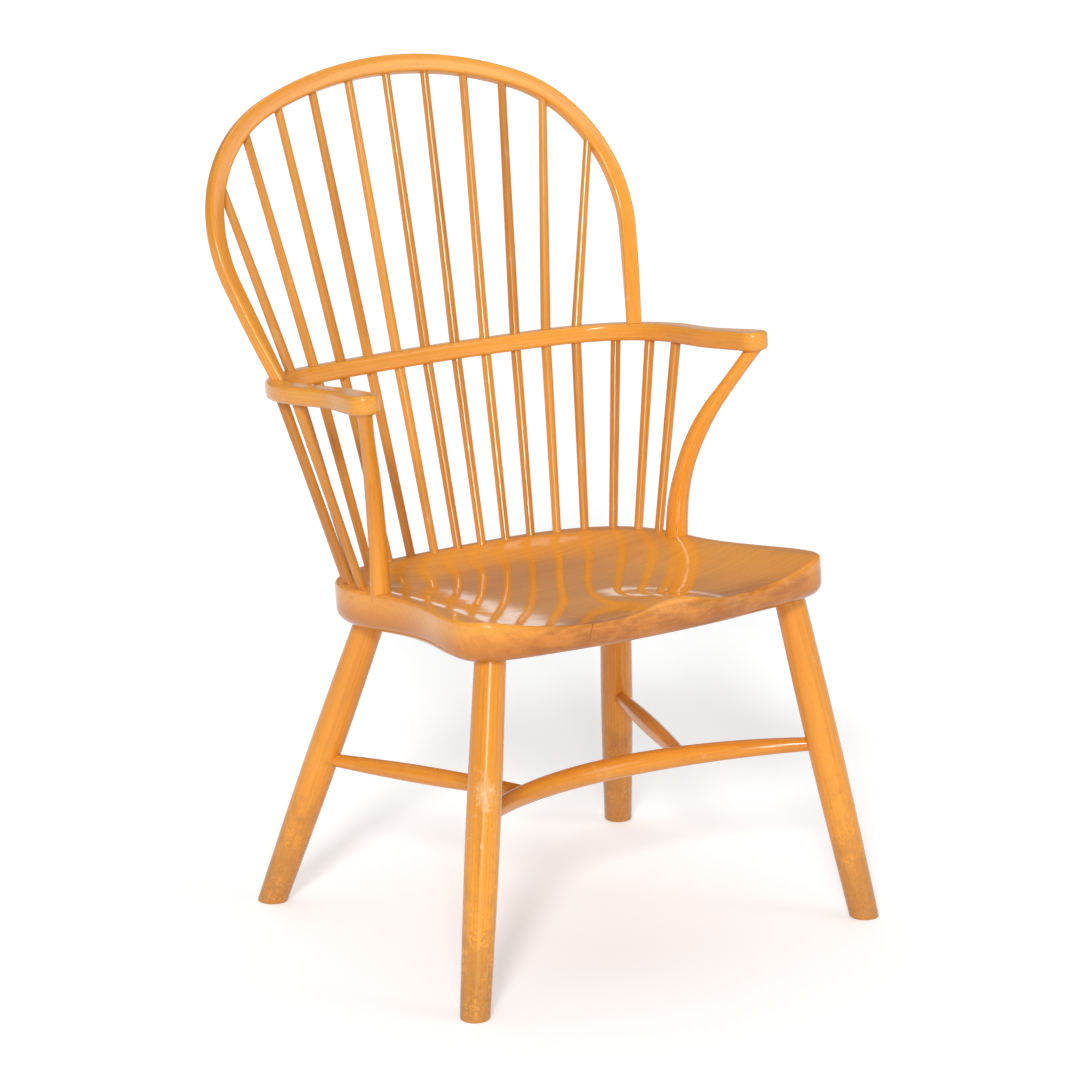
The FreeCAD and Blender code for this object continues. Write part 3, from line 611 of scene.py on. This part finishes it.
def makeSeat():
    edge = seatEdge()
    middle = np.array([0.0, seat["middleY"]])
    deep, rim, under = seat["thickness"], seat["rimRound"], seat["underRound"]
    loops = []
    inset = [spot - out * rim for spot, out in edge]
    # the hollow, from the middle to the rim
    for k in range(1, seat["rings"] + 1):
        share = (k / seat["rings"]) ** seat["ringSpread"]
        ring = [middle + (i - middle) * share for i in inset]
        loops.append([(*p, -hollow(*p)) for p in ring])
    top = [-hollow(*i) for i in inset]
    for degrees in range(seat["rimStep"], 91, seat["rimStep"]):
        a = math.radians(degrees)
        loops.append([(*(i + out * rim * math.sin(a)), z - rim * (1 - math.cos(a)))
                      for (spot, out), i, z in zip(edge, inset, top)])
    # the side, in steps that lie closer together where it turns under
    for share in seat["sideShares"]:
        loops.append([(*spot, (z - rim) + (under - deep - z + rim) * share)
                      for (spot, out), z in zip(edge, top)])
    for degrees in range(seat["underStep"], 91, seat["underStep"]):
        a = math.radians(degrees)
        loops.append([(*(spot - out * under * (1 - math.cos(a))), under - deep - under * math.sin(a))
                      for spot, out in edge])
    for share in seat["underShares"]:
        loops.append([(*(middle + (spot - out * under - middle) * share), -deep) for spot, out in edge])
    count = seat["around"]
    flat = [(middle[0], middle[1], -hollow(*middle))]
    for loop in loops:
        flat += loop
    flat.append((middle[0], middle[1], -deep))
    faces = [(0, 1 + k, 1 + (k + 1) % count) for k in range(count)]
    for row in range(len(loops) - 1):
        a, c = 1 + row * count, 1 + (row + 1) * count
        faces += [(a + k, c + k, c + (k + 1) % count, a + (k + 1) % count) for k in range(count)]
    a, last = 1 + (len(loops) - 1) * count, len(flat) - 1
    faces += [(a + k, last, a + (k + 1) % count) for k in range(count)]
    mesh = bpy.data.meshes.new("seat")
    mesh.from_pydata([onPlane(seatPlane, *p) * mm for p in flat], [], faces)
    storeVectors(mesh, "wood", [(y, z, x) for x, y, z in flat], mm)
    # painted shade: the side and the underside are painted browner than the top, more the lower they lie
    shadeShares = [min(max((-p[2] - seat["paintedShadeToneStart"]) / seat["paintedShadeToneReach"], 0.0), 1.0) for p in flat]
    storeNumbers(mesh, "tone", [seat["paintedShadeTone"] * share for share in shadeShares])
    mesh.shade_smooth()
    facesOut(mesh)
    mesh.materials.append(seatFinish)
    finishPiece("seat", mesh)


makeSeat()
print("seat made")

# the line of the spindles, a fixed distance inside the edge of the seat
spindleInset = 13.5


def seatLine():
    spots = [spot - out * spindleInset for spot, out in seatEdge()]
    half = spots[:seat["around"] // 2]
    table = [(0.0, half[0])]
    for before, here in zip(half, half[1:]):
        table.append((table[-1][0] + np.linalg.norm(here - before), here))
    return table


spindleLine = seatLine()


def seatSpot(station, sign):
    for (before, near), (after, far) in zip(spindleLine, spindleLine[1:]):
        if after >= station:
            x, y = near + (far - near) * (station - before) / (after - before)
            return onPlane(seatPlane, sign * x, y)


# the arm bow
armBow = {
    "backThickness": 21.5, "handThickness": 23.5, "backWidth": 23.5, "sideWidth": 29.0, "edgePoints": 9,
    "backY": 223.0, "arcs": [(1066.0, 10.2), (124.0, 83.0)], "edgeRound": 5.0,
    "waistY": 0.0, "waistSpan": 283.5, "waistWidth": 31.0,
    "handRadius": 19.5, "handSpan": 293.0, "handY": -77.0,
    "steps": 110, "tipSteps": 14, "roundSteps": 5, "flatStart": 0.5, "roomShare": 0.999, "gap": 0.3,
    "joinWithin": 0.02,
}


def armPlace(station, offset=0.0):
    x, y, heading = walk((0.0, armBow["backY"]), armBow["arcs"], station)
    return x + offset * math.sin(heading), y + offset * math.cos(heading)


def armDepth(y):
    share = (y - armBow["handY"]) / (armBow["backY"] - armBow["handY"])
    return armBow["handThickness"] + (armBow["backThickness"] - armBow["handThickness"]) * share


def armSpot(station, sign, share):
    x, y = armPlace(station)
    return onPlane(armPlane, sign * x, y, -armDepth(y) * share)


def armEdge(side):
    # one long edge of half the bow; the first two and last two points hold its end directions
    whole = arcsLength(armBow["arcs"])
    spots = []
    for k in range(armBow["edgePoints"]):
        share = k / (armBow["edgePoints"] - 1)
        width = armBow["backWidth"] + (armBow["sideWidth"] - armBow["backWidth"]) * share
        spots.append(armPlace(whole * share, side * width / 2))
    spots.insert(0, (-spots[1][0], spots[1][1]))
    palmX = armBow["handSpan"] + side * armBow["handRadius"]
    spots.append((armBow["waistSpan"] + side * armBow["waistWidth"] / 2, armBow["waistY"]))
    spots.append((palmX, armBow["handY"]))
    spots.append((palmX, armBow["handY"] - armBow["handRadius"]))
    at = smoothCurve(spots, False)
    chords = np.linalg.norm(np.diff(np.array(spots), axis=0), axis=1)
    lengths = np.concatenate([[0.0], np.cumsum(chords)])
    first, last = lengths[1] / lengths[-1], lengths[-2] / lengths[-1]
    steps = armBow["steps"]
    line = [at(first + (last - first) * k / steps) for k in range(steps + 1)]
    palm = np.array([armBow["handSpan"], armBow["handY"]])
    for k in range(1, armBow["tipSteps"] + 1):
        a = math.pi / 2 * k / armBow["tipSteps"]
        line.append(palm + armBow["handRadius"] * np.array([side * math.cos(a), -math.sin(a)]))
    outward = []
    for k in range(len(line)):
        ahead = line[min(k + 1, len(line) - 1)] - line[max(k - 1, 0)]
        out = side * np.array([-ahead[1], ahead[0]])
        outward.append(out / np.linalg.norm(out))
    outward[0] = np.array([0.0, float(side)])
    outward[-1] = np.array([0.0, -1.0])
    return line, outward


def makeArmBow():
    outer, outerWay = armEdge(1)
    inner, innerWay = armEdge(-1)
    radius, steps = armBow["edgeRound"], armBow["roundSteps"]
    turns = [math.pi / 2 * k / steps for k in range(steps + 1)]
    travelled = 0.0
    rows, woods = [], []
    for k in range(len(outer)):
        if k:
            travelled += float(np.linalg.norm((outer[k] + inner[k] - outer[k - 1] - inner[k - 1]) / 2))
        half = np.linalg.norm(outer[k] - inner[k]) / 2
        row, wood = [], []
        for spot, way, sign in ((outer[k], outerWay[k], 1), (inner[k], innerWay[k], -1)):
            depth = armDepth(spot[1])
            # each level is how far in from the edge and how far up from the top
            levels = [(radius + armBow["flatStart"], 0.0)]
            levels += [(radius * (1 - math.sin(a)), -radius * (1 - math.cos(a))) for a in turns]
            levels += [(radius * (1 - math.cos(a)), radius - depth - radius * math.sin(a)) for a in turns]
            levels += [(radius + armBow["flatStart"], -depth)]
            if sign < 0:
                levels.reverse()
            for back, up in levels:
                # towards the tip the two edges meet, so there is less room between them
                room = back if k == len(outer) - 1 else armBow["roomShare"] * half + armBow["gap"]
                place = spot - way * min(back, room)
                row.append((place[0], place[1], up))
                wood.append((sign * (half - back), up, travelled))
        rows.append(row)
        woods.append(wood)
    count = len(rows[0])
    spots, grain, faces = [], [], []
    shift = grainShift("arm_bow") / mm
    for sign in (1, -1):
        base = len(spots)
        for row, wood in zip(rows, woods):
            spots += [onPlane(armPlane, sign * x, y, up) * mm for x, y, up in row]
            grain += [(a + shift.x, d + shift.y, sign * s + shift.z) for a, d, s in wood]
        for k in range(len(rows) - 1):
            for j in range(count):
                a, c = base + k * count + j, base + k * count + (j + 1) % count
                quad = (a, c, c + count, a + count)
                faces.append(quad if sign > 0 else quad[::-1])
    mesh = bpy.data.meshes.new("arm_bow")
    mesh.from_pydata(spots, [], faces)
    storeVectors(mesh, "wood", grain, mm)
    storeNumbers(mesh, "tone", [0.0] * len(spots))
    work = bmesh.new()
    work.from_mesh(mesh)
    bmesh.ops.remove_doubles(work, verts=work.verts, dist=armBow["joinWithin"] * mm)
    bmesh.ops.holes_fill(work, edges=work.edges)
    bmesh.ops.recalc_face_normals(work, faces=work.faces)
    work.to_mesh(mesh)
    work.free()
    mesh.shade_smooth()
    facesOut(mesh)
    mesh.materials.append(bentFinish)
    finishPiece("arm_bow", mesh)


makeArmBow()
print("arm bow made")

# the back hoop
hoop = {
    "lean": 26.4, "footStation": 299.5, "footInset": 3.5, "rise": 378.9,
    "arcs": [(504.3, 22.0), (189.0, 80.5)], "crownWidth": 23.5, "crownDepth": 18.0,
    "footWidth": 20.0, "footDepth": 15.0, "edgeRound": 4.0, "legTwist": 14.0, "footTwist": 35.0,
    "twistStart": 350.0, "twistFull": 150.0, "footTwistLength": 55.0, "steps": 220, "into": 3.0,
    "sides": 32,
}
hoopFoot = onPlane(armPlane, *armPlace(hoop["footStation"], -hoop["footInset"]))


def hoopWay(x, along, forward=0.0):
    lean = math.radians(hoop["lean"])
    return Vector((x,
                   along * math.sin(lean) - forward * math.cos(lean),
                   along * math.cos(lean) + forward * math.sin(lean)))


def inHoop(x, along):
    return Vector((0.0, hoopFoot.y, hoopFoot.z)) + hoopWay(x, along)


def hoopSideArc():
    x, along, heading = walk((0.0, hoop["rise"]), hoop["arcs"], arcsLength(hoop["arcs"]))
    across = hoopFoot.x - x
    bend = math.atan2(along, across) - heading
    return math.hypot(across, along) / (2 * math.sin(bend)), math.degrees(2 * bend)


hoopArcs = hoop["arcs"] + [hoopSideArc()]


def hoopPlace(station):
    return walk((0.0, hoop["rise"]), hoopArcs, station)


def hoopTurn(station):
    above = arcsLength(hoopArcs) - station
    share = min(max((hoop["twistStart"] - above) / (hoop["twistStart"] - hoop["twistFull"]), 0.0), 1.0)
    leg = hoop["legTwist"] * (1 - math.cos(math.pi * share)) / 2
    foot = (hoop["footTwist"] - hoop["legTwist"]) * math.exp(-(above / hoop["footTwistLength"]) ** 2)
    return math.radians(leg + foot)


def makeHoop():
    whole = arcsLength(hoopArcs)
    ahead = hoopWay(0.0, 0.0, 1.0)
    stations = []
    for k in range(hoop["steps"] + 1):
        share = 2 * k / hoop["steps"] - 1
        sign = 1 if share >= 0 else -1
        station = abs(share) * (whole + hoop["into"])
        x, along, heading = hoopPlace(station)
        tangent = hoopWay(math.cos(heading), -sign * math.sin(heading))
        outward = ahead.cross(tangent).normalized()
        turn = hoopTurn(min(station, whole))
        part = min(station / whole, 1.0)
        side = outward * math.cos(turn) + ahead * math.sin(turn)
        front = ahead * math.cos(turn) - outward * math.sin(turn)
        stations.append((inHoop(sign * x, along), side, front,
                         (hoop["crownWidth"] + (hoop["footWidth"] - hoop["crownWidth"]) * part) / 2,
                         (hoop["crownDepth"] + (hoop["footDepth"] - hoop["crownDepth"]) * part) / 2,
                         sign * station))
    makeBar("back_hoop", stations, bentFinish, hoop["sides"], edgeRound=hoop["edgeRound"])


makeHoop()
print("hoop made")

# spindles: the long ones bend a little where they pass the arm bow
spindle = {
    "seatPlaces": [0.0, 36.8, 73.6, 110.4, 147.2, 184.0, 221.5, 258.5, 295.5],
    "armPlaces": [0.0, 44.5, 89.0, 133.5, 178.0, 220.0, 272.0, 320.5, 368.5],
    "hoopPlaces": [0.0, 58.5, 117.0, 175.5, 239.0, 321.0],
    "seatRadius": 5.7, "armRadius": 6.6, "hoopRadius": 5.4, "into": 12.0, "steps": 24,
    "armInside": 0.5, "shortInside": 0.7, "sides": 24, "toneRange": (-0.10, 0.28),
}


def taperedRun(start, end, first, last, travelled=0.0):
    # stations of a straight run whose radius changes smoothly
    way = (end - start).normalized()
    side, front = crossAxes(way, Vector((1, 0, 0)))
    steps = spindle["steps"]
    length = (end - start).length
    run = []
    for k in range(steps + 1):
        share = k / steps
        radius = first + (last - first) * (1 - math.cos(math.pi * share)) / 2
        run.append((start + way * length * share, side, front, radius, radius, travelled + length * share))
    return run


def makeSpindle(name, run):
    tone = random.Random(name + "tone").uniform(*spindle["toneRange"])
    makeBar(name, run, spindleFinish, spindle["sides"], tone=tone)


def makeLongSpindle(number, sign, name):
    low = seatSpot(spindle["seatPlaces"][number], sign)
    knee = armSpot(spindle["armPlaces"][number], sign, spindle["armInside"])
    x, along = hoopPlace(spindle["hoopPlaces"][number])[:2]
    high = inHoop(sign * x, along)
    low = low - (knee - low).normalized() * spindle["into"]
    lower = taperedRun(low, knee, spindle["seatRadius"], spindle["armRadius"])
    upper = taperedRun(knee, high, spindle["armRadius"], spindle["hoopRadius"], lower[-1][5])
    makeSpindle(name, lower + upper[1:])


def makeShortSpindle(number, sign, name):
    low = seatSpot(spindle["seatPlaces"][number], sign)
    high = armSpot(spindle["armPlaces"][number], sign, spindle["shortInside"])
    low = low - (high - low).normalized() * spindle["into"]
    makeSpindle(name, taperedRun(low, high, spindle["seatRadius"], spindle["armRadius"]))


lastLong = len(spindle["hoopPlaces"]) - 1
for number in range(-lastLong, lastLong + 1):
    makeLongSpindle(abs(number), 1 if number >= 0 else -1, "spindle_%02d" % (number + lastLong + 1))
for label, sign in (("left", 1), ("right", -1)):
    for number in range(lastLong + 1, len(spindle["armPlaces"])):
        makeShortSpindle(number, sign, "arm_spindle_%s_%d" % (label, number - lastLong))
print("spindles made")

# the bent posts under the hands
post = {
    "station": 335.0, "straight": 15.0, "lean": 34.2, "bulge": 3.0, "steps": 60, "into": 9.0,
    "sections": [(0.0, 14.2, 13.5), (0.12, 13.7, 11.9), (0.3, 11.8, 11.3), (0.5, 11.5, 10.6),
                 (0.7, 9.8, 9.6), (0.88, 8.8, 9.0), (1.0, 9.2, 9.7)],
    "sides": 32, "rightTone": 0.04,
}


def postStations():
    # upright out of the seat, then one even bend, then straight to the hand
    low = seatSpot(post["station"], 1)
    high = onPlane(armPlane, armBow["handSpan"], armBow["handY"], -armBow["handThickness"])
    out = Vector((high.x - low.x, high.y - low.y, 0))
    across = out.length
    out.normalize()
    lean = math.radians(post["lean"])
    rise = high.z - low.z - post["straight"]
    radius = (math.tan(lean) * rise - across) / (math.tan(lean) * math.sin(lean) - (1 - math.cos(lean)))
    knee = low + Vector((0, 0, post["straight"] + radius * math.tan(lean / 2)))
    second = (high - knee).normalized()
    bend = radius * lean
    whole = post["straight"] + bend + (high - knee).length - radius * math.tan(lean / 2)
    aside = Vector((-out.y, out.x, 0))
    sections = [(share * whole, depth, width) for share, depth, width in post["sections"]]
    widths = smoothCurve(sections, False)
    stations = []
    for k in range(post["steps"] + 1):
        distance = -post["into"] + (whole + 2 * post["into"]) * k / post["steps"]
        if distance < post["straight"]:
            point, way = low + Vector((0, 0, distance)), Vector((0, 0, 1))
        elif distance > post["straight"] + bend:
            point = high + second * (distance - whole)
            way = second
        else:
            a = (distance - post["straight"]) / radius
            point = low + Vector((0, 0, post["straight"] + radius * math.sin(a)))
            point = point + out * radius * (1 - math.cos(a))
            way = out * math.sin(a) + Vector((0, 0, math.cos(a)))
        inside = min(max(distance, 0.0), whole)
        slope = post["bulge"] * math.pi / whole * math.cos(math.pi * inside / whole)
        bulge = post["bulge"] * math.sin(math.pi * inside / whole)
        point = point + aside * (bulge + slope * (distance - inside))
        way = (way + aside * slope).normalized()
        side, front = crossAxes(way, aside)
        depth, width = widths(inside / whole)[1:]
        stations.append((point, side, front, width, depth, distance))
    return stations


makeTurnedPair("arm_post", postStations(), post["sides"], 0.0, post["rightTone"])
print("posts made")

# legs: every ring lies level, so the foot is cut flat for the floor
leg = {
    "footRadius": 17.8, "sections": [(0.22, 19.7), (0.48, 20.8), (1.0, 18.9)], "spare": 20.0,
    "footRound": 2.0, "roundSteps": 6, "halvings": 24, "steps": 40, "into": 12.0,
    "sides": 40, "rightTone": -0.05,
    "front": {"foot": (298.8, -311.3), "top": (225.8, -237.0)},
    "back": {"foot": (274.2, 173.3), "top": (189.0, 74.4)},
}


def legAxis(which):
    return (onPlane(seatPlane, *leg[which]["top"], -seat["thickness"]),
            Vector((*leg[which]["foot"], 0)))


def legStations(which):
    high, low = legAxis(which)
    way = (high - low).normalized()
    length = (high - low).length
    level = Vector((way.x, way.y, 0)).normalized()
    across = Vector((-level.y, level.x, 0))
    widen = 1 / way.z
    points = [(-leg["spare"], leg["footRadius"])] + [(length * s, r) for s, r in leg["sections"]]
    heights = smoothCurve(points, False)

    def radiusAt(distance):
        # halved until the curve's place along the leg is the one asked for
        near, far = 0.0, 1.0
        for halving in range(leg["halvings"]):
            middle = (near + far) / 2
            if heights(middle)[0] < distance:
                near = middle
            else:
                far = middle
        return float(heights((near + far) / 2)[1])

    # heights over the floor, and how much the rounded edge takes off there
    levels = []
    footRound, turns, steps = leg["footRound"], leg["roundSteps"], leg["steps"]
    for k in range(turns + 1):
        a = math.pi / 2 * k / turns
        levels.append((footRound * (1 - math.sin(math.pi / 2 - a)), footRound * (1 - math.sin(a))))
    for k in range(1, steps + 1):
        levels.append((footRound + (high.z + leg["into"] - footRound) * k / steps, 0.0))
    stations = []
    for height, less in levels:
        distance = height / way.z
        radius = radiusAt(min(max(distance, -leg["spare"]), length)) - less
        stations.append((low + way * distance, level, across, radius * widen, radius, distance))
    return stations


for which in ("front", "back"):
    makeTurnedPair("leg_" + which, legStations(which), leg["sides"], 0.0, leg["rightTone"])
print("legs made")

# the bent stretcher and its two spurs
stretcher = {
    "height": 225.4, "sweep": 113.0, "drop": 16.0, "middleRadius": 13.7, "endRadius": 7.6, "swell": 0.8,
    "steps": 90, "sides": 32, "tone": 0.05,
}
spur = {
    "height": 195.5, "turn": 19.0, "drop": 4.8, "middleRadius": 11.4, "endRadius": 7.2,
    "steps": 40, "sides": 28, "tone": 0.08,
}


def alongLeg(which, height):
    high, low = legAxis(which)
    return low + (high - low) * (height / high.z)


stretcherEnd = alongLeg("front", stretcher["height"])
stretcherBend = (stretcherEnd.x ** 2 + stretcher["sweep"] ** 2) / (2 * stretcher["sweep"])


def stretcherPlace(angle):
    # point and direction, by the angle turned from the middle of the bow
    sweep, drop = stretcher["sweep"], stretcher["drop"]
    back = stretcherEnd.y + sweep
    y = back - stretcherBend * (1 - math.cos(angle))
    z = stretcher["height"] - drop * (1 - (back - y) / sweep)
    way = Vector((math.cos(angle), -math.sin(angle), math.sin(angle) * drop / sweep)).normalized()
    return Vector((stretcherBend * math.sin(angle), y, z)), way


def makeStretcher():
    reach = math.asin(stretcherEnd.x / stretcherBend)
    first, last = stretcher["endRadius"], stretcher["middleRadius"]
    stations = []
    for k in range(stretcher["steps"] + 1):
        share = 2 * k / stretcher["steps"] - 1
        place, way = stretcherPlace(reach * share)
        swell = max(math.cos(math.pi / 2 * share), 0.0) ** stretcher["swell"]
        size = first + (last - first) * swell
        side, front = crossAxes(way, Vector((0, 0, 1)))
        stations.append((place, side, front, size, size, stretcherBend * reach * share))
    makeBar("stretcher_bow", stations, turnedFinish, stretcher["sides"],
            tone=stretcher["tone"])


def makeSpurs():
    start = alongLeg("back", spur["height"])
    end = stretcherPlace(math.radians(spur["turn"]))[0] - Vector((0, 0, spur["drop"]))
    way = (end - start).normalized()
    side, front = crossAxes(way, Vector((0, 0, 1)))
    length = (end - start).length
    stations = []
    for k in range(spur["steps"] + 1):
        share = k / spur["steps"]
        size = spur["endRadius"] + (spur["middleRadius"] - spur["endRadius"]) * math.sin(math.pi * share)
        stations.append((start + way * length * share, side, front, size, size, length * share))
    makeTurnedPair("spur", stations, spur["sides"], spur["tone"], spur["tone"])


makeStretcher()
makeSpurs()
print("stretchers made")

# floor, light and camera
# a lamp is its name, the way to it, its strength and how many degrees wide it looks
studio = {
    "cameraPlace": (-3.0822, -4.3056, 1.9207), "cameraTarget": (-0.03039, -0.070, 0.48962),
    "lens": 146.667, "sensor": 36.0, "farthest": 100.0,
    "floorSize": 60.0, "floorColour": (0.86, 0.86, 0.86), "floorGlow": 0.30,
    "ambient": 0.30, "aboveHorizon": 0.22, "horizonBlend": 0.06,
    "lamps": [("keyLamp", (-0.70, -0.72, 0.58), 1.65, 10.0), ("fillLamp", (0.60, -0.75, 0.45), 0.40, 26.0),
              ("frontLamp", (-0.52, -0.84, 0.27), 0.85, 7.0),
              ("topLamp", (0.10, 0.35, 1.0), 0.70, 60.0)],
}


def makeCamera():
    data = bpy.data.cameras.new("camera")
    data.lens = studio["lens"]
    data.sensor_width = studio["sensor"]
    data.clip_end = studio["farthest"]
    camera = newObject("camera", data)
    place = Vector(studio["cameraPlace"])
    camera.location = place
    camera.rotation_mode = "QUATERNION"
    camera.rotation_quaternion = (Vector(studio["cameraTarget"]) - place).to_track_quat("-Z", "Y")
    bpy.context.scene.camera = camera


def makeLamps():
    for name, way, strength, angle in studio["lamps"]:
        data = bpy.data.lights.new(name, "SUN")
        data.energy = strength
        data.angle = math.radians(angle)
        lamp = newObject(name, data)
        lamp.rotation_mode = "QUATERNION"
        lamp.rotation_quaternion = Vector(way).to_track_quat("Z", "Y")


def seenRay(b):
    # 1 where the background itself is seen, straight or in a reflection, and 0 where it lights
    ray = b.add("ShaderNodeLightPath").outputs
    seen = b.math("MAXIMUM", ray["Is Camera Ray"], ray["Is Glossy Ray"])
    return b.math("MAXIMUM", seen, ray["Is Transmission Ray"])


def makeWorld():
    world = bpy.data.worlds.new("studio")
    bpy.context.scene.world = world
    b = emptyBench(world)
    # what the camera and the lacquer see: white up to the horizon, a dim room above it
    dim = studio["aboveHorizon"]
    up = b.split(b.add("ShaderNodeTexCoord").outputs["Generated"])[2]
    white = b.math("MULTIPLY_ADD", b.ramp(up, studio["horizonBlend"], 0.0), 1.0 - dim, dim)
    strength = b.add("ShaderNodeMix", {0: seenRay(b), 2: studio["ambient"], 3: white}).outputs[0]
    back = b.add("ShaderNodeBackground", {"Color": (1, 1, 1, 1), "Strength": strength})
    b.links.new(back.outputs[0], b.add("ShaderNodeOutputWorld").inputs["Surface"])


def makeFloor():
    half = studio["floorSize"] / 2
    mesh = bpy.data.meshes.new("floor")
    corners = [(-half, -half, 0), (half, -half, 0), (half, half, 0), (-half, half, 0)]
    mesh.from_pydata(corners, [], [(0, 1, 2, 3)])
    material = bpy.data.materials.new("floor")
    b = emptyBench(material)
    paper = b.add("ShaderNodeBsdfDiffuse", {"Color": rgba(studio["floorColour"])})
    strength = b.times(seenRay(b), studio["floorGlow"])
    glow = b.add("ShaderNodeEmission", {"Color": (1, 1, 1, 1), "Strength": strength})
    both = b.add("ShaderNodeAddShader", {0: paper.outputs[0], 1: glow.outputs[0]})
    b.links.new(both.outputs[0], b.add("ShaderNodeOutputMaterial").inputs["Surface"])
    mesh.materials.append(material)
    floor = newObject("floor", mesh)


makeCamera()
makeLamps()
makeWorld()
makeFloor()
bpy.context.scene.view_settings.view_transform = "Standard"
print("studio ready")
